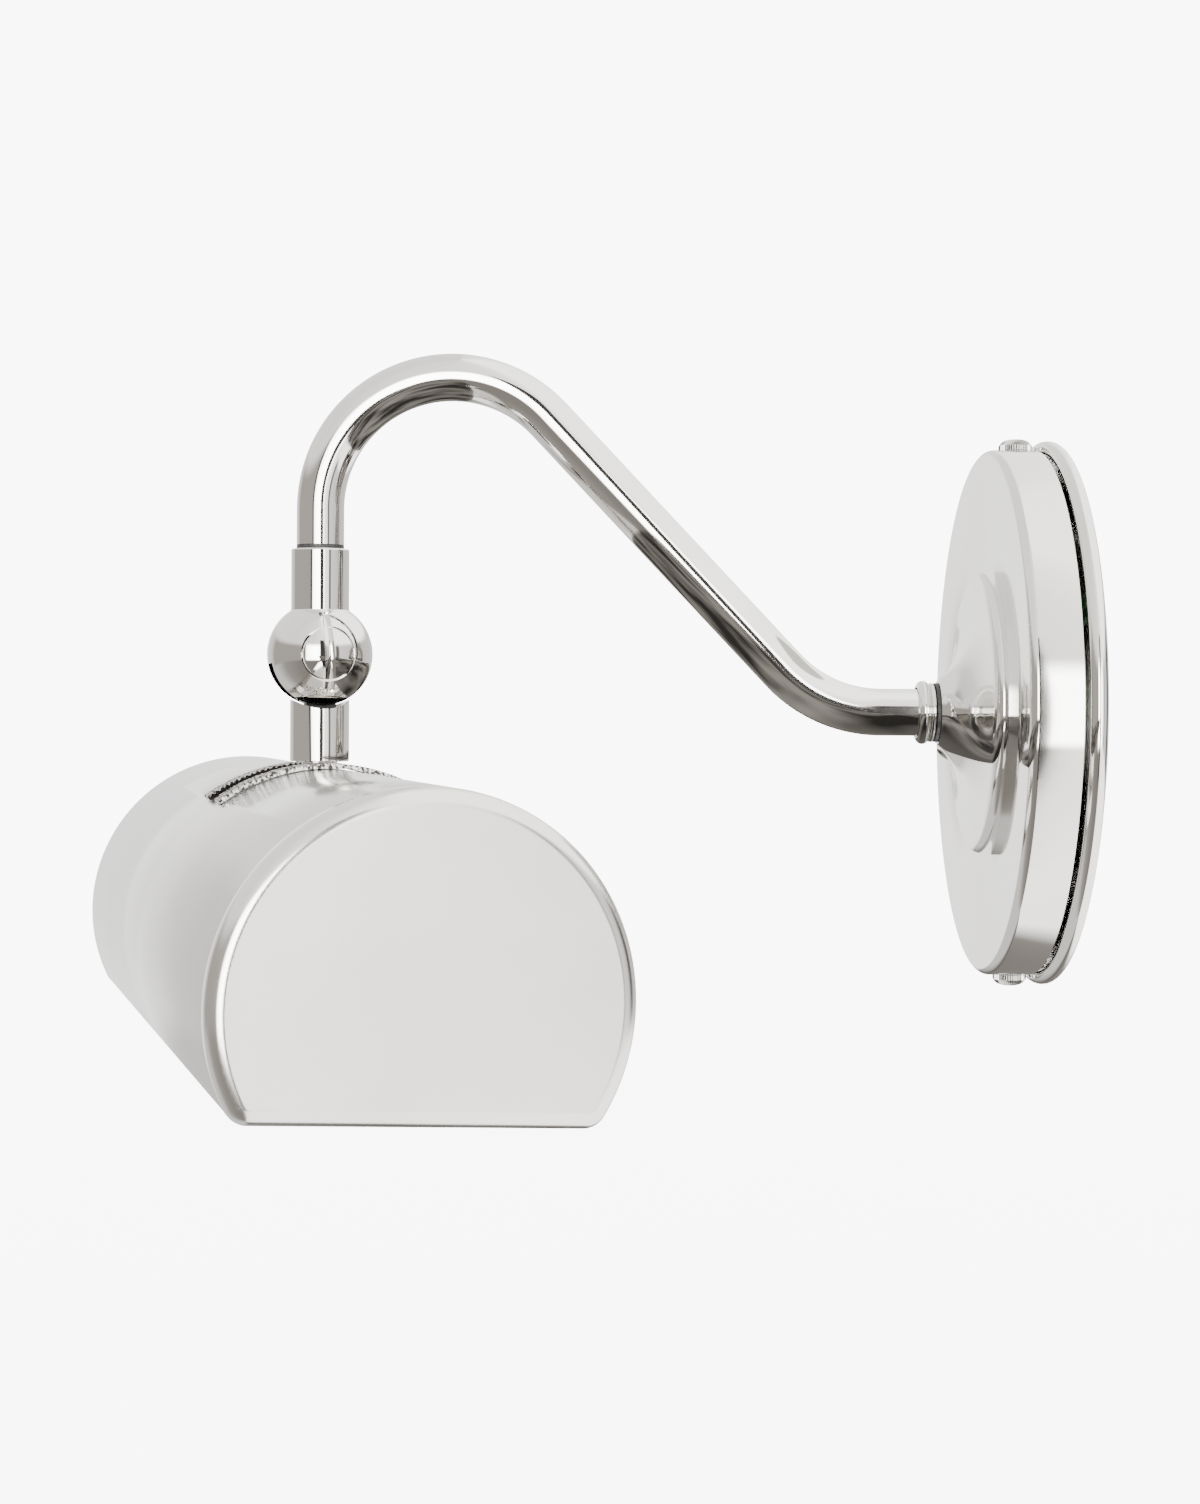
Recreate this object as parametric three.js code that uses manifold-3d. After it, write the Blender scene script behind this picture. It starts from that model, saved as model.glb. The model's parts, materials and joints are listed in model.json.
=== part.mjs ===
// Gooseneck wall light with a round canopy, a bent tube arm, a ball knuckle and a long D-section shade.
//
// Millimetres, +Z up. The wall is the plane Y = 0 and the light stands out from it towards -Y.
// The origin is the centre of the back plate on the wall, in line with the arm's entry.
// The arm lies in the plane X = 0. The head hangs under the arm's free end and is turned a little on it.

import * as THREE from 'three';
import { mergeVertices } from 'three/addons/utils/BufferGeometryUtils.js';
import Module from 'manifold-3d';

const wasm = await Module();
wasm.setup();

// ---------- driving dimensions ----------

const gap = 0.3; // between pieces that touch or turn on each other

// Back plate and canopy; "height" here is the distance out from the wall.
const plateRadius = 72.3;
const plateThickness = 1.5;
const plateHoleRadius = 19;
const beadRadius = 2.2;
const canopyRadius = 69.85;
const canopyWall = 1.3;
const canopyFaceHeight = 18.4;
const canopyEdgeRadius = 2.2;
const bossBaseRadius = 37.5;
const bossShoulderRadius = 34;
const bossShoulderHeight = 2.4; // above the canopy's face
const bossNoseRadius = 8.8;
const bossNoseHeight = 29.4;
const bossNoseWall = 3.0;

// Mounting strap and its screws.
const strapWidth = 16;
const strapThickness = 2;
const boxScrewSpacing = 88.9;
const boxScrewRadius = 2.05;
const boxScrewHeadRadius = 3.9;
const groundScrewOffset = 27;
const thumbscrewRadius = 1.9;
const thumbscrewHeadRadius = 4.45;
const thumbscrewHeadHeight = 3;
const thumbscrewHeight = 9.2;
const thumbscrewTeeth = 18;
const thumbscrewToothDepth = 0.35;

// Arm.
const nippleRadius = 4.8;
const nippleBoreRadius = 3.2;
const nutAcrossFlats = 15;
const nutThickness = 4;
const washerThickness = 1;
const collarRadius = 8.5;
const collarLength = 4.6;
const tubeRadius = 6.3;
const tubeWall = 1.2;
const legReach = 194.5;
const topBendRadius = 35.2;
const topBendHeight = 53; // where the leg ends and the bend starts
const lowerBendRadius = 36;
const slopeAngle = 46.4;

// Ball knuckle.
const headYaw = 16.7;
const ballHeight = 14.3;
const ballRadius = 14;
const neckRadius = 7.7;
const neckTop = 28;
const neckBoreDepth = 14;
const swivelWasherThickness = 0.5;
const pivotHeadRadius = 6.7;
const pivotShankRadius = 2.5;
const grooveWidth = 2.9;
const grooveDepth = 0.6;
const grooveTurn = 3.8;
const tongueThickness = 4;
const tongueWidth = 8;
const eyeRadius = 6.4;
const frictionWasherThickness = 0.8;
const tiltTowardsWall = 40;
const tiltFromWall = 60;

// Stem between the knuckle and the shade.
const stemRadius = 7.85;
const stemWall = 1.3;
const saddleClearance = 1;
const hubHeight = 10.4; // of the plug in the stem's lower end
const nippleIntoHub = 8;

// Shade.
const shadeRadius = 48;
const shadeLength = 254;
const shadeWall = 1.2;
const shadeDrop = 78.3; // from the ball's centre down to the shade's axis
const shadeRoll = -3.3;
const capCut = 26; // the caps' flat lower edge, below the shade's axis
const capThickness = 6;
const capEdgeRadius = 4.2;
const capCornerRadius = 5.5;
const capLipLength = 6;
const edgeSetback = 2.5; // the shell's lower edges stop this far above the caps'
const slotWidth = 10.6;
const slotHalfAngle = 38;
const trackWidth = 7.5;
const trackHeight = 1.6;
const trackToothDepth = 0.45;
const trackToothPitch = 1.3;

// Lamp holder.
const bracketWidth = 14;
const bracketThickness = 1.7;
const bracketReach = 104;
const bracketDrop = 9; // how far its leg goes below the holder's axis
const socketAxisHeight = 7; // above the shade's axis
const socketScrewRadius = 2.05;
const socketRadius = 17;
const socketLength = 42;
const socketWall = 0.8;
const insulatorWall = 1.6;
const screwShellRadius = 13.7;
const screwShellLength = 26;

// ---------- solids ----------

function signedVolume(geometry) {
  const position = geometry.attributes.position;
  const index = geometry.index;
  const a = new THREE.Vector3();
  const b = new THREE.Vector3();
  const c = new THREE.Vector3();
  let volume = 0;
  for (let i = 0; i < index.count; i += 3) {
    a.fromBufferAttribute(position, index.getX(i));
    b.fromBufferAttribute(position, index.getX(i + 1));
    c.fromBufferAttribute(position, index.getX(i + 2));
    volume += a.dot(b.cross(c)) / 6;
  }
  return volume;
}

// Merges shared vertices, drops empty triangles and turns the faces outwards.
function closed(source) {
  const bare = source.clone();
  bare.deleteAttribute('normal');
  bare.deleteAttribute('uv');
  const geometry = mergeVertices(bare, 1e-4);
  const kept = [];
  for (let i = 0; i < geometry.index.count; i += 3) {
    const [a, b, c] = [0, 1, 2].map((k) => geometry.index.getX(i + k));
    if (a !== b && b !== c && c !== a) kept.push(a, b, c);
  }
  geometry.setIndex(kept);
  if (signedVolume(geometry) < 0) {
    for (let i = 0; i < kept.length; i += 3) [kept[i], kept[i + 1]] = [kept[i + 1], kept[i]];
    geometry.setIndex(kept);
  }
  return geometry;
}

function toSolid(geometry) {
  const tidy = closed(geometry);
  return new wasm.Manifold(new wasm.Mesh({
    numProp: 3,
    vertProperties: new Float32Array(tidy.attributes.position.array),
    triVerts: new Uint32Array(tidy.index.array),
  }));
}

function toGeometry(solid) {
  const mesh = solid.getMesh();
  const geometry = new THREE.BufferGeometry();
  geometry.setAttribute('position', new THREE.BufferAttribute(new Float32Array(mesh.vertProperties), 3));
  geometry.setIndex(new THREE.BufferAttribute(new Uint32Array(mesh.triVerts), 1));
  return geometry;
}

const join = (...shapes) => toGeometry(shapes.map(toSolid).reduce((a, b) => a.add(b)));
const common = (a, b) => toGeometry(toSolid(a).intersect(toSolid(b)));

function cut(shape, ...tools) {
  return toGeometry(tools.map(toSolid).reduce((a, b) => a.subtract(b), toSolid(shape)));
}

const radians = THREE.MathUtils.degToRad;

function polar(radius, degrees, centreX = 0, centreY = 0) {
  const angle = radians(degrees);
  return [centreX + radius * Math.cos(angle), centreY + radius * Math.sin(angle)];
}

function arc(centreX, centreY, radius, from, to, steps) {
  const points = [];
  for (let i = 0; i <= steps; i += 1) {
    points.push(polar(radius, from + ((to - from) * i) / steps, centreX, centreY));
  }
  return points;
}

// A turned piece about Z from [radius, height] points; the profile closes on itself.
function turned(profile, segments = 24) {
  const points = [...profile, profile[0]].map(([radius, height]) => new THREE.Vector2(radius, height));
  return closed(new THREE.LatheGeometry(points, segments).rotateX(Math.PI / 2));
}

function ring(outer, inner, low, high, segments = 24) {
  return turned([[inner, low], [outer, low], [outer, high], [inner, high]], segments);
}

function rod(radius, low, high, segments = 24) {
  return turned([[0, low], [radius, low], [radius, high], [0, high]], segments);
}

const alongX = (geometry) => geometry.clone().rotateY(Math.PI / 2); // height becomes +X
const outFromWall = (geometry) => geometry.clone().rotateX(Math.PI / 2); // height becomes -Y
const moved = (geometry, x, y, z) => geometry.clone().translate(x, y, z);

function box(x0, x1, y0, y1, z0, z1) {
  const geometry = new THREE.BoxGeometry(x1 - x0, y1 - y0, z1 - z0);
  return closed(geometry.translate((x0 + x1) / 2, (y0 + y1) / 2, (z0 + z1) / 2));
}

// A nut for the hollow threaded nipples, with its top at the given height.
function nippleNut(high) {
  const cornerRadius = nutAcrossFlats / Math.sqrt(3);
  const hexagon = new THREE.CylinderGeometry(cornerRadius, cornerRadius, nutThickness, 6);
  const body = hexagon.rotateX(Math.PI / 2).translate(0, 0, high - nutThickness / 2);
  return cut(body, rod(nippleRadius + gap, high - nutThickness - 1, high + 1, 20));
}

// A flat outline in the local Y-Z plane, extruded along X from x0 to x1.
function extrudedAlongX(shape, x0, x1, options = {}) {
  const geometry = new THREE.ExtrudeGeometry(shape, { depth: x1 - x0, bevelEnabled: false, ...options });
  return closed(geometry.rotateX(Math.PI / 2).rotateZ(Math.PI / 2).translate(x0, 0, 0));
}

// A band between two radii, from one angle to another, measured from +Y towards +Z.
function bandShape(outer, inner, from, to, steps) {
  const outline = [...arc(0, 0, outer, from, to, steps), ...arc(0, 0, inner, to, from, steps)];
  return new THREE.Shape(outline.map(([y, z]) => new THREE.Vector2(y, z)));
}

// ---------- materials and nodes ----------

function finish(color, roughness, metalness) {
  return new THREE.MeshStandardMaterial({ color, roughness, metalness });
}

const polishedNickel = () => finish(0xcfcbc2, 0.08, 1);
const zincSteel = () => finish(0xa9a9a6, 0.35, 1);
const brass = () => finish(0xb89b5e, 0.3, 1);
const nylon = () => finish(0x1c1c1c, 0.6, 0);
const porcelain = () => finish(0xe9e5da, 0.35, 0);
const greenSteel = () => finish(0x2f7d46, 0.4, 0.6);

function node(parent, name, geometry, material) {
  const mesh = new THREE.Mesh(geometry, material);
  mesh.name = name;
  parent.add(mesh);
  return mesh;
}

// ---------- wall side: back plate, strap, canopy ----------

const beadHeight = beadRadius;
const strapBottom = plateThickness + gap;
const strapTop = strapBottom + strapThickness;
const canopyBackHeight = beadHeight + beadRadius + gap;
const boxScrewOffset = boxScrewSpacing / 2;
const boxHoleRadius = boxScrewRadius + gap;
const strapHalfLength = canopyRadius - canopyWall - gap - 1.5;
const strapTabMargin = 4.5; // the tabs reach this far past the thumbscrews
const panHeadHeight = 2.8;
const panDomeRadius = 6.2;
const panSlotDepth = 1.2;
const boxScrewLength = strapTop; // as far as the wall plane; the thread runs on into the wall's box

function backPlate() {
  const beadCentre = plateRadius - beadRadius;
  const bead = arc(beadCentre, beadHeight, beadRadius, -90, 205, 9);
  const plate = turned([
    [plateHoleRadius, 0],
    ...bead,
    [beadCentre - 2 * beadRadius, plateThickness],
    [plateHoleRadius, plateThickness],
  ], 40);
  const hole = rod(boxHoleRadius, -1, plateThickness + 1, 16);
  return outFromWall(cut(plate, moved(hole, 0, boxScrewOffset, 0), moved(hole, 0, -boxScrewOffset, 0)));
}

// A round bore from side to side, in line with both thumbscrews.
function thumbscrewBore(halfLength) {
  const bore = rod(thumbscrewRadius + gap, -halfLength, halfLength, 16);
  return bore.rotateX(Math.PI / 2).translate(0, 0, thumbscrewHeight);
}

// A steel strap with both ends bent forward; each end is tapped for a thumbscrew.
function mountingStrap() {
  const tabHeight = thumbscrewHeight + strapTabMargin;
  const half = strapWidth / 2;
  const bar = box(-half, half, -strapHalfLength, strapHalfLength, strapBottom, strapTop);
  const tabs = [1, -1].map((side) => {
    const outer = side * strapHalfLength;
    const inner = side * (strapHalfLength - strapThickness);
    return box(-half, half, Math.min(inner, outer), Math.max(inner, outer), strapBottom, tabHeight);
  });
  const centreHole = rod(nippleRadius + 2, 0, strapTop + 1, 20);
  const screwHole = rod(boxHoleRadius, 0, strapTop + 1, 16);
  const screwHoles = [boxScrewOffset, -boxScrewOffset, groundScrewOffset].map((y) => moved(screwHole, 0, y, 0));
  return outFromWall(cut(join(bar, ...tabs), centreHole, ...screwHoles, thumbscrewBore(strapHalfLength + 2)));
}

// A pan-head screw whose head rests on the strap.
function panScrew(length, slotAngle) {
  const seat = strapTop + gap;
  const top = seat + panHeadHeight;
  const dome = arc(0, top - panDomeRadius, panDomeRadius, 38, 90, 4);
  const head = turned([
    [0, seat - length],
    [boxScrewRadius - 0.6, seat - length],
    [boxScrewRadius, seat - length + 1],
    [boxScrewRadius, seat],
    [boxScrewHeadRadius, seat],
    ...dome.slice(0, -1).map(([radius, height]) => [Math.min(radius, boxScrewHeadRadius), height]),
    [0, top],
  ], 14);
  const slot = box(-5, 5, -0.5, 0.5, top - panSlotDepth, top + 1);
  return cut(head, slot.rotateZ(radians(slotAngle)));
}

const plane = (x, y) => new THREE.Vector2(x, y);

function curvePoints(start, startPull, endPull, end, steps) {
  return new THREE.CubicBezierCurve(start, startPull, endPull, end).getPoints(steps).map((p) => [p.x, p.y]);
}

// One side of the canopy's wall, from the rim's back edge over the face and the boss's shoulder to its nose.
function canopyOutline(inset) {
  const rim = canopyRadius - inset;
  const face = canopyFaceHeight - inset;
  const edge = canopyEdgeRadius - inset * 0.6;
  const base = plane(bossBaseRadius - inset, face);
  const crown = plane(bossShoulderRadius - inset * 0.3, face + bossShoulderHeight);
  const nose = plane(bossNoseRadius - inset, bossNoseHeight - inset);
  const shoulderStart = plane(base.x - 0.2, crown.y - 1);
  const shoulder = curvePoints(base, shoulderStart, plane(crown.x + 2.2, crown.y - 0.2), crown, 4);
  const sweepStart = plane(crown.x - 10, crown.y + 1.2);
  const sweep = curvePoints(crown, sweepStart, plane(nose.x + 4.7, crown.y + 3), nose, 8);
  const rounded = arc(rim - edge, face - edge, edge, 0, 90, 3);
  return [[rim, canopyBackHeight], ...rounded, ...shoulder, ...sweep.slice(1)];
}

function canopy() {
  const outside = canopyOutline(0);
  const bore = nippleRadius + gap;
  const innerNose = bossNoseHeight - bossNoseWall;
  const inside = canopyOutline(canopyWall).filter(([radius, height]) => height < innerNose && radius > bore);
  const last = inside[inside.length - 1];
  const nose = [[bore, bossNoseHeight], [bore, innerNose], [last[0], innerNose]];
  const shell = turned([...outside, ...nose, ...inside.reverse()], 40);
  return outFromWall(cut(shell, thumbscrewBore(canopyRadius + 2)));
}

// A knurled screw through the canopy's rim; its head stands on the rim, pointing away from the axis.
function thumbscrew() {
  const seat = canopyRadius + gap;
  const top = seat + thumbscrewHeadHeight;
  const edge = thumbscrewHeadRadius;
  const knurl = [];
  for (let i = 0; i < thumbscrewTeeth * 2; i += 1) {
    const [x, y] = polar(edge - (i % 2) * thumbscrewToothDepth, (180 * i) / thumbscrewTeeth);
    knurl.push(plane(x, y));
  }
  const band = new THREE.ExtrudeGeometry(new THREE.Shape(knurl), {
    depth: thumbscrewHeadHeight,
    bevelEnabled: false,
  });
  const envelope = turned([
    [0, seat],
    [edge - 0.4, seat],
    [edge, seat + 0.4],
    [edge, top - 1.1],
    [edge * 0.75, top - 0.3],
    [0, top],
  ], 24);
  const shank = rod(thumbscrewRadius, strapHalfLength - strapThickness - 1.2, seat + 0.5, 16);
  return join(common(moved(closed(band), 0, 0, seat), envelope), shank);
}

// ---------- arm ----------

const bossNippleBack = bossNoseHeight - bossNoseWall - 2 * gap - washerThickness - nutThickness - 2.5;
const swingWasherHeight = bossNoseHeight + gap;
const collarHeight = swingWasherHeight + washerThickness / 2 + gap;
const tubeStart = collarHeight + 0.4;
const tubeEnd = ballHeight + neckTop + swivelWasherThickness + 2 * gap;

function ringCollar() {
  const large = collarLength * 0.36;
  const small = collarLength * 0.15;
  const top = collarHeight + collarLength;
  return outFromWall(turned([
    [tubeRadius + gap, collarHeight], [collarRadius - 1.1, collarHeight],
    ...arc(collarRadius - 1.1 - small * 0.2, collarHeight + small, small, -60, 80, 3),
    ...arc(collarRadius - large, top - large, large, -70, 85, 5),
    [tubeRadius + gap, top],
  ], 24));
}

// The tube's centre line: up the leg, over the top bend, down the slope and round into the wall.
function armPath() {
  const slope = radians(slopeAngle);
  const normal = new THREE.Vector2(Math.sin(slope), Math.cos(slope));
  const topCentre = new THREE.Vector2(-legReach + topBendRadius, topBendHeight);
  const topEnd = topCentre.clone().addScaledVector(normal, topBendRadius);
  const drop = topEnd.y - lowerBendRadius * (1 - normal.y);
  const lowStart = new THREE.Vector2(topEnd.x + drop / Math.tan(slope), topEnd.y - drop);
  const lowCentre = lowStart.clone().addScaledVector(normal, lowerBendRadius);
  const points = [[-legReach, tubeEnd]];
  points.push(...arc(topCentre.x, topCentre.y, topBendRadius, 180, 90 - slopeAngle, 16));
  points.push(...arc(lowCentre.x, lowCentre.y, lowerBendRadius, 270 - slopeAngle, 270, 7));
  points.push([-tubeStart, 0]);
  return points.map(([y, z]) => new THREE.Vector3(0, y, z));
}

// A bent tube: one ring of vertices per path point, set square to the bisector of the bend there.
function bentTube(path, outer, inner, sides) {
  const rings = path.map((point, i) => {
    const before = path[Math.max(i - 1, 0)];
    const after = path[Math.min(i + 1, path.length - 1)];
    const tangent = after.clone().sub(before).normalize();
    const side = new THREE.Vector3(1, 0, 0);
    return { point, side, up: tangent.clone().cross(side).normalize() };
  });
  const vertices = [];
  for (const radius of [outer, inner]) {
    for (const { point, side, up } of rings) {
      for (let k = 0; k < sides; k += 1) {
        const [across, along] = polar(radius, (360 * k) / sides);
        vertices.push(...point.clone().addScaledVector(side, across).addScaledVector(up, along).toArray());
      }
    }
  }
  const count = rings.length;
  const at = (skin, row, k) => (skin * count + row) * sides + (k % sides);
  const faces = [];
  const quad = (a, b, c, d) => faces.push(a, b, c, a, c, d);
  for (let k = 0; k < sides; k += 1) {
    for (let row = 0; row < count - 1; row += 1) {
      quad(at(0, row, k), at(0, row, k + 1), at(0, row + 1, k + 1), at(0, row + 1, k));
      quad(at(1, row, k), at(1, row + 1, k), at(1, row + 1, k + 1), at(1, row, k + 1));
    }
    quad(at(0, 0, k), at(1, 0, k), at(1, 0, k + 1), at(0, 0, k + 1));
    quad(at(0, count - 1, k), at(0, count - 1, k + 1), at(1, count - 1, k + 1), at(1, count - 1, k));
  }
  const geometry = new THREE.BufferGeometry();
  geometry.setAttribute('position', new THREE.Float32BufferAttribute(vertices, 3));
  geometry.setIndex(faces);
  return closed(geometry);
}

// ---------- knuckle; heights here are measured from the ball's centre, the pivot runs along X ----------

const slotHalf = tongueThickness / 2 + 2 * gap + frictionWasherThickness;
const eyeClearance = 0.6;
const shankBore = pivotShankRadius + gap;
const headSeat = ballRadius - 3.7;

// The room that the tongue sweeps through as the head tilts.
function tongueSweep() {
  const half = tongueWidth / 2 + eyeClearance;
  const reach = ballRadius + 2;
  const shapes = [alongX(rod(eyeRadius + eyeClearance, -slotHalf, slotHalf, 28))];
  const steps = 6;
  for (let i = 0; i <= steps; i += 1) {
    const angle = radians(-tiltFromWall + ((tiltTowardsWall + tiltFromWall) * i) / steps);
    shapes.push(box(-slotHalf, slotHalf, -half, half, -reach, 0).rotateX(angle));
  }
  return join(...shapes);
}

// A shallow groove that follows the ball from the neck down, across the pivot screw's head.
function groove() {
  const floor = closed(new THREE.SphereGeometry(ballRadius - grooveDepth, 32, 18));
  const half = grooveWidth / 2;
  const blade = box(2, ballRadius + 2, -half, half, -ballRadius * 0.72, ballRadius * 0.7);
  return cut(blade, floor).rotateX(radians(grooveTurn));
}

function ballKnuckle() {
  const chamfer = 0.5;
  const neckBase = 4;
  const neck = turned([
    [0, neckBase],
    [neckRadius, neckBase],
    [neckRadius, neckTop - chamfer],
    [neckRadius - chamfer, neckTop],
    [0, neckTop],
  ], 32);
  const ball = closed(new THREE.SphereGeometry(ballRadius, 32, 18).rotateX(Math.PI / 2));
  const bushBore = rod(nippleRadius + gap, neckTop - neckBoreDepth, neckTop + 1, 24);
  const wireBore = rod(nippleBoreRadius, 0, neckTop, 16);
  const shank = alongX(rod(shankBore, -ballRadius - 1, ballRadius + 1, 20));
  const seatNear = alongX(rod(pivotHeadRadius + gap, headSeat - gap, ballRadius + 1, 32));
  const seatFar = alongX(rod(pivotHeadRadius + gap, -ballRadius - 1, -headSeat + gap, 32));
  return cut(join(ball, neck), bushBore, wireBore, shank, seatNear, seatFar, tongueSweep(), groove());
}

// A head that carries the ball's own curve across its seat.
function domedHead() {
  const ball = closed(new THREE.SphereGeometry(ballRadius, 32, 18).rotateX(Math.PI / 2));
  return common(ball, alongX(rod(pivotHeadRadius, headSeat, ballRadius + 1, 32)));
}

function pivotScrew() {
  const shank = alongX(rod(pivotShankRadius, -headSeat - 1.6, headSeat + 0.5, 20));
  return cut(join(domedHead(), shank), groove());
}

function pivotNut() {
  const blindBore = alongX(rod(shankBore, 0, headSeat + 1.9, 20));
  return cut(domedHead(), blindBore).rotateZ(Math.PI);
}

// ---------- stem and tongue ----------

const trackRadius = shadeRadius + trackHeight;
const stemBottom = -shadeDrop + trackRadius + gap;
const stemBore = stemRadius - stemWall;
const hubRadius = stemBore - gap;
const hubTop = stemBottom + hubHeight;
const nippleTop = stemBottom + nippleIntoHub;

function tongue() {
  const half = tongueThickness / 2;
  const eye = alongX(rod(eyeRadius, -half, half, 28));
  const blade = box(-half, half, -tongueWidth / 2, tongueWidth / 2, hubTop - 0.5, 0);
  const hub = rod(hubRadius, stemBottom + gap, hubTop, 24);
  const threaded = rod(nippleRadius + gap, stemBottom - 1, nippleTop + gap, 24);
  return cut(join(eye, blade, hub), alongX(rod(shankBore, -half - 1, half + 1, 20)), threaded);
}

function stem() {
  const sleeve = ring(stemRadius, stemBore, stemBottom, -ballRadius * 0.7, 32);
  return cut(sleeve, alongX(rod(ballRadius + saddleClearance, -stemRadius - 1, stemRadius + 1, 64)));
}

// ---------- parts on the nipple inside the shade; heights from the shade's axis ----------

const shellInner = shadeRadius - shadeWall;
const saddleOuter = shellInner - gap;
const saddleThickness = 1.8;
const saddleHalf = 10;
const saddleFlat = Math.sqrt((saddleOuter - saddleThickness) ** 2 - (nutAcrossFlats / Math.sqrt(3)) ** 2);
const upperNutTop = saddleFlat - gap;
const bracketTop = upperNutTop - nutThickness - gap;
const bracketBottom = bracketTop - bracketThickness;
const lowerNutTop = bracketBottom - gap;
const nippleBottom = lowerNutTop - nutThickness - 1.5;

function saddleWasher() {
  const halfAngle = THREE.MathUtils.radToDeg(saddleHalf / saddleOuter);
  const shape = bandShape(saddleOuter, saddleOuter - saddleThickness, 90 - halfAngle, 90 + halfAngle, 8);
  return cut(extrudedAlongX(shape, -saddleHalf, saddleHalf), rod(nippleRadius + gap, 0, shadeRadius, 24));
}

const socketBack = bracketReach - gap;
const socketMouth = socketBack - socketLength;

// An L: flat under the shade's top, then down behind the lamp holder.
function socketBracket() {
  const half = bracketWidth / 2;
  const flat = box(-half, bracketReach + bracketThickness, -half, half, bracketBottom, bracketTop);
  const legBottom = socketAxisHeight - bracketDrop;
  const leg = box(bracketReach, bracketReach + bracketThickness, -half, half, legBottom, bracketTop);
  const nippleHole = rod(nippleRadius + gap, 0, shadeRadius, 24);
  const screwHole = moved(alongX(rod(boxHoleRadius, 0, bracketReach + 10, 16)), 0, 0, socketAxisHeight);
  return cut(join(flat, leg), nippleHole, screwHole);
}

// A cup along X whose closed end is at the back, with a hole for the fixing screw.
function cup(outer, wall, mouth, back, floor) {
  return moved(alongX(turned([
    [boxHoleRadius, back],
    [outer, back],
    [outer, mouth],
    [outer - wall, mouth],
    [outer - wall, back - floor],
    [boxHoleRadius, back - floor],
  ], 24)), 0, 0, socketAxisHeight);
}

const insulatorRadius = socketRadius - socketWall - gap;
const insulatorBack = socketBack - socketWall - gap;
const insulatorFloor = 8;
const shellBack = insulatorBack - insulatorFloor - gap;
const contactRadius = 4.5;
const contactThickness = 1.2;
const threadTurns = 6;
const threadDepth = 0.6;
const threadWall = 0.5;

function screwShell() {
  const mouth = shellBack - screwShellLength;
  const pitch = screwShellLength / threadTurns;
  const outside = [];
  const inside = [];
  for (let i = 0; i <= threadTurns * 2; i += 1) {
    const at = mouth + (pitch * i) / 2;
    const radius = screwShellRadius - (i % 2) * threadDepth;
    outside.push([radius, at]);
    inside.unshift([radius - threadWall, at]);
  }
  return moved(alongX(turned([...outside, ...inside], 18)), 0, 0, socketAxisHeight);
}

function centreContact() {
  const washer = ring(contactRadius, boxHoleRadius, shellBack - contactThickness, shellBack, 20);
  return moved(alongX(washer), 0, 0, socketAxisHeight);
}

// The head bears on the bracket's leg from behind and the shank ends inside the holder's base.
function socketScrew() {
  const seat = bracketReach + bracketThickness + gap;
  const end = shellBack + 1.5;
  return moved(alongX(turned([
    [0, end],
    [socketScrewRadius, end],
    [socketScrewRadius, seat],
    [boxScrewHeadRadius, seat],
    [boxScrewHeadRadius, seat + 1.4],
    [boxScrewHeadRadius - 1, seat + 2.3],
    [0, seat + 2.3],
  ], 20)), 0, 0, socketAxisHeight);
}

// ---------- shade; X runs along its axis ----------

const capBack = shadeLength / 2 - capThickness;
const shellHalf = capBack - gap;

function shadeShell() {
  const edge = THREE.MathUtils.radToDeg(Math.asin((capCut - edgeSetback) / shadeRadius));
  const body = extrudedAlongX(bandShape(shadeRadius, shellInner, -edge, 180 + edge, 44), -shellHalf, shellHalf);
  const opening = bandShape(shadeRadius + 4, shellInner - 4, 90 - slotHalfAngle, 90 + slotHalfAngle, 24);
  return cut(body, extrudedAlongX(opening, -slotWidth / 2, slotWidth / 2));
}

// A round-topped outline with a flat lower edge and rounded corners.
function capShape(radius, lowerEdge, corner) {
  const drop = lowerEdge - corner;
  const across = Math.sqrt((radius - corner) ** 2 - drop ** 2);
  const touch = THREE.MathUtils.radToDeg(Math.atan2(drop, across));
  const outline = [
    ...arc(0, 0, radius, -touch, 180 + touch, 40),
    ...arc(-across, -drop, corner, 180 + touch, 270, 4).slice(1),
    ...arc(across, -drop, corner, -90, -touch, 4).slice(0, -1),
  ];
  return new THREE.Shape(outline.map(([y, z]) => new THREE.Vector2(y, z)));
}

// A D-shaped end with a rounded outer edge and a lip that sits inside the shell.
function endCap() {
  const outline = capShape(shadeRadius, capCut, capCornerRadius);
  const pillowStart = shadeLength / 2 - 2 * capEdgeRadius;
  const pillow = extrudedAlongX(outline, pillowStart + capEdgeRadius, shadeLength / 2 - capEdgeRadius + 0.01, {
    bevelEnabled: true,
    bevelSize: capEdgeRadius,
    bevelThickness: capEdgeRadius - 0.01,
    bevelOffset: -capEdgeRadius,
    bevelSegments: 4,
  });
  const front = common(pillow, box(capBack, shadeLength, -shadeLength, shadeLength, -shadeLength, shadeLength));
  const skirt = extrudedAlongX(outline, capBack, shadeLength / 2 - capEdgeRadius);
  const lipOuter = shellInner - gap;
  const lip = bandShape(lipOuter, lipOuter - shadeWall, -20, 200, 24);
  return join(front, skirt, extrudedAlongX(lip, capBack - capLipLength, capBack + 0.5));
}

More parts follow.
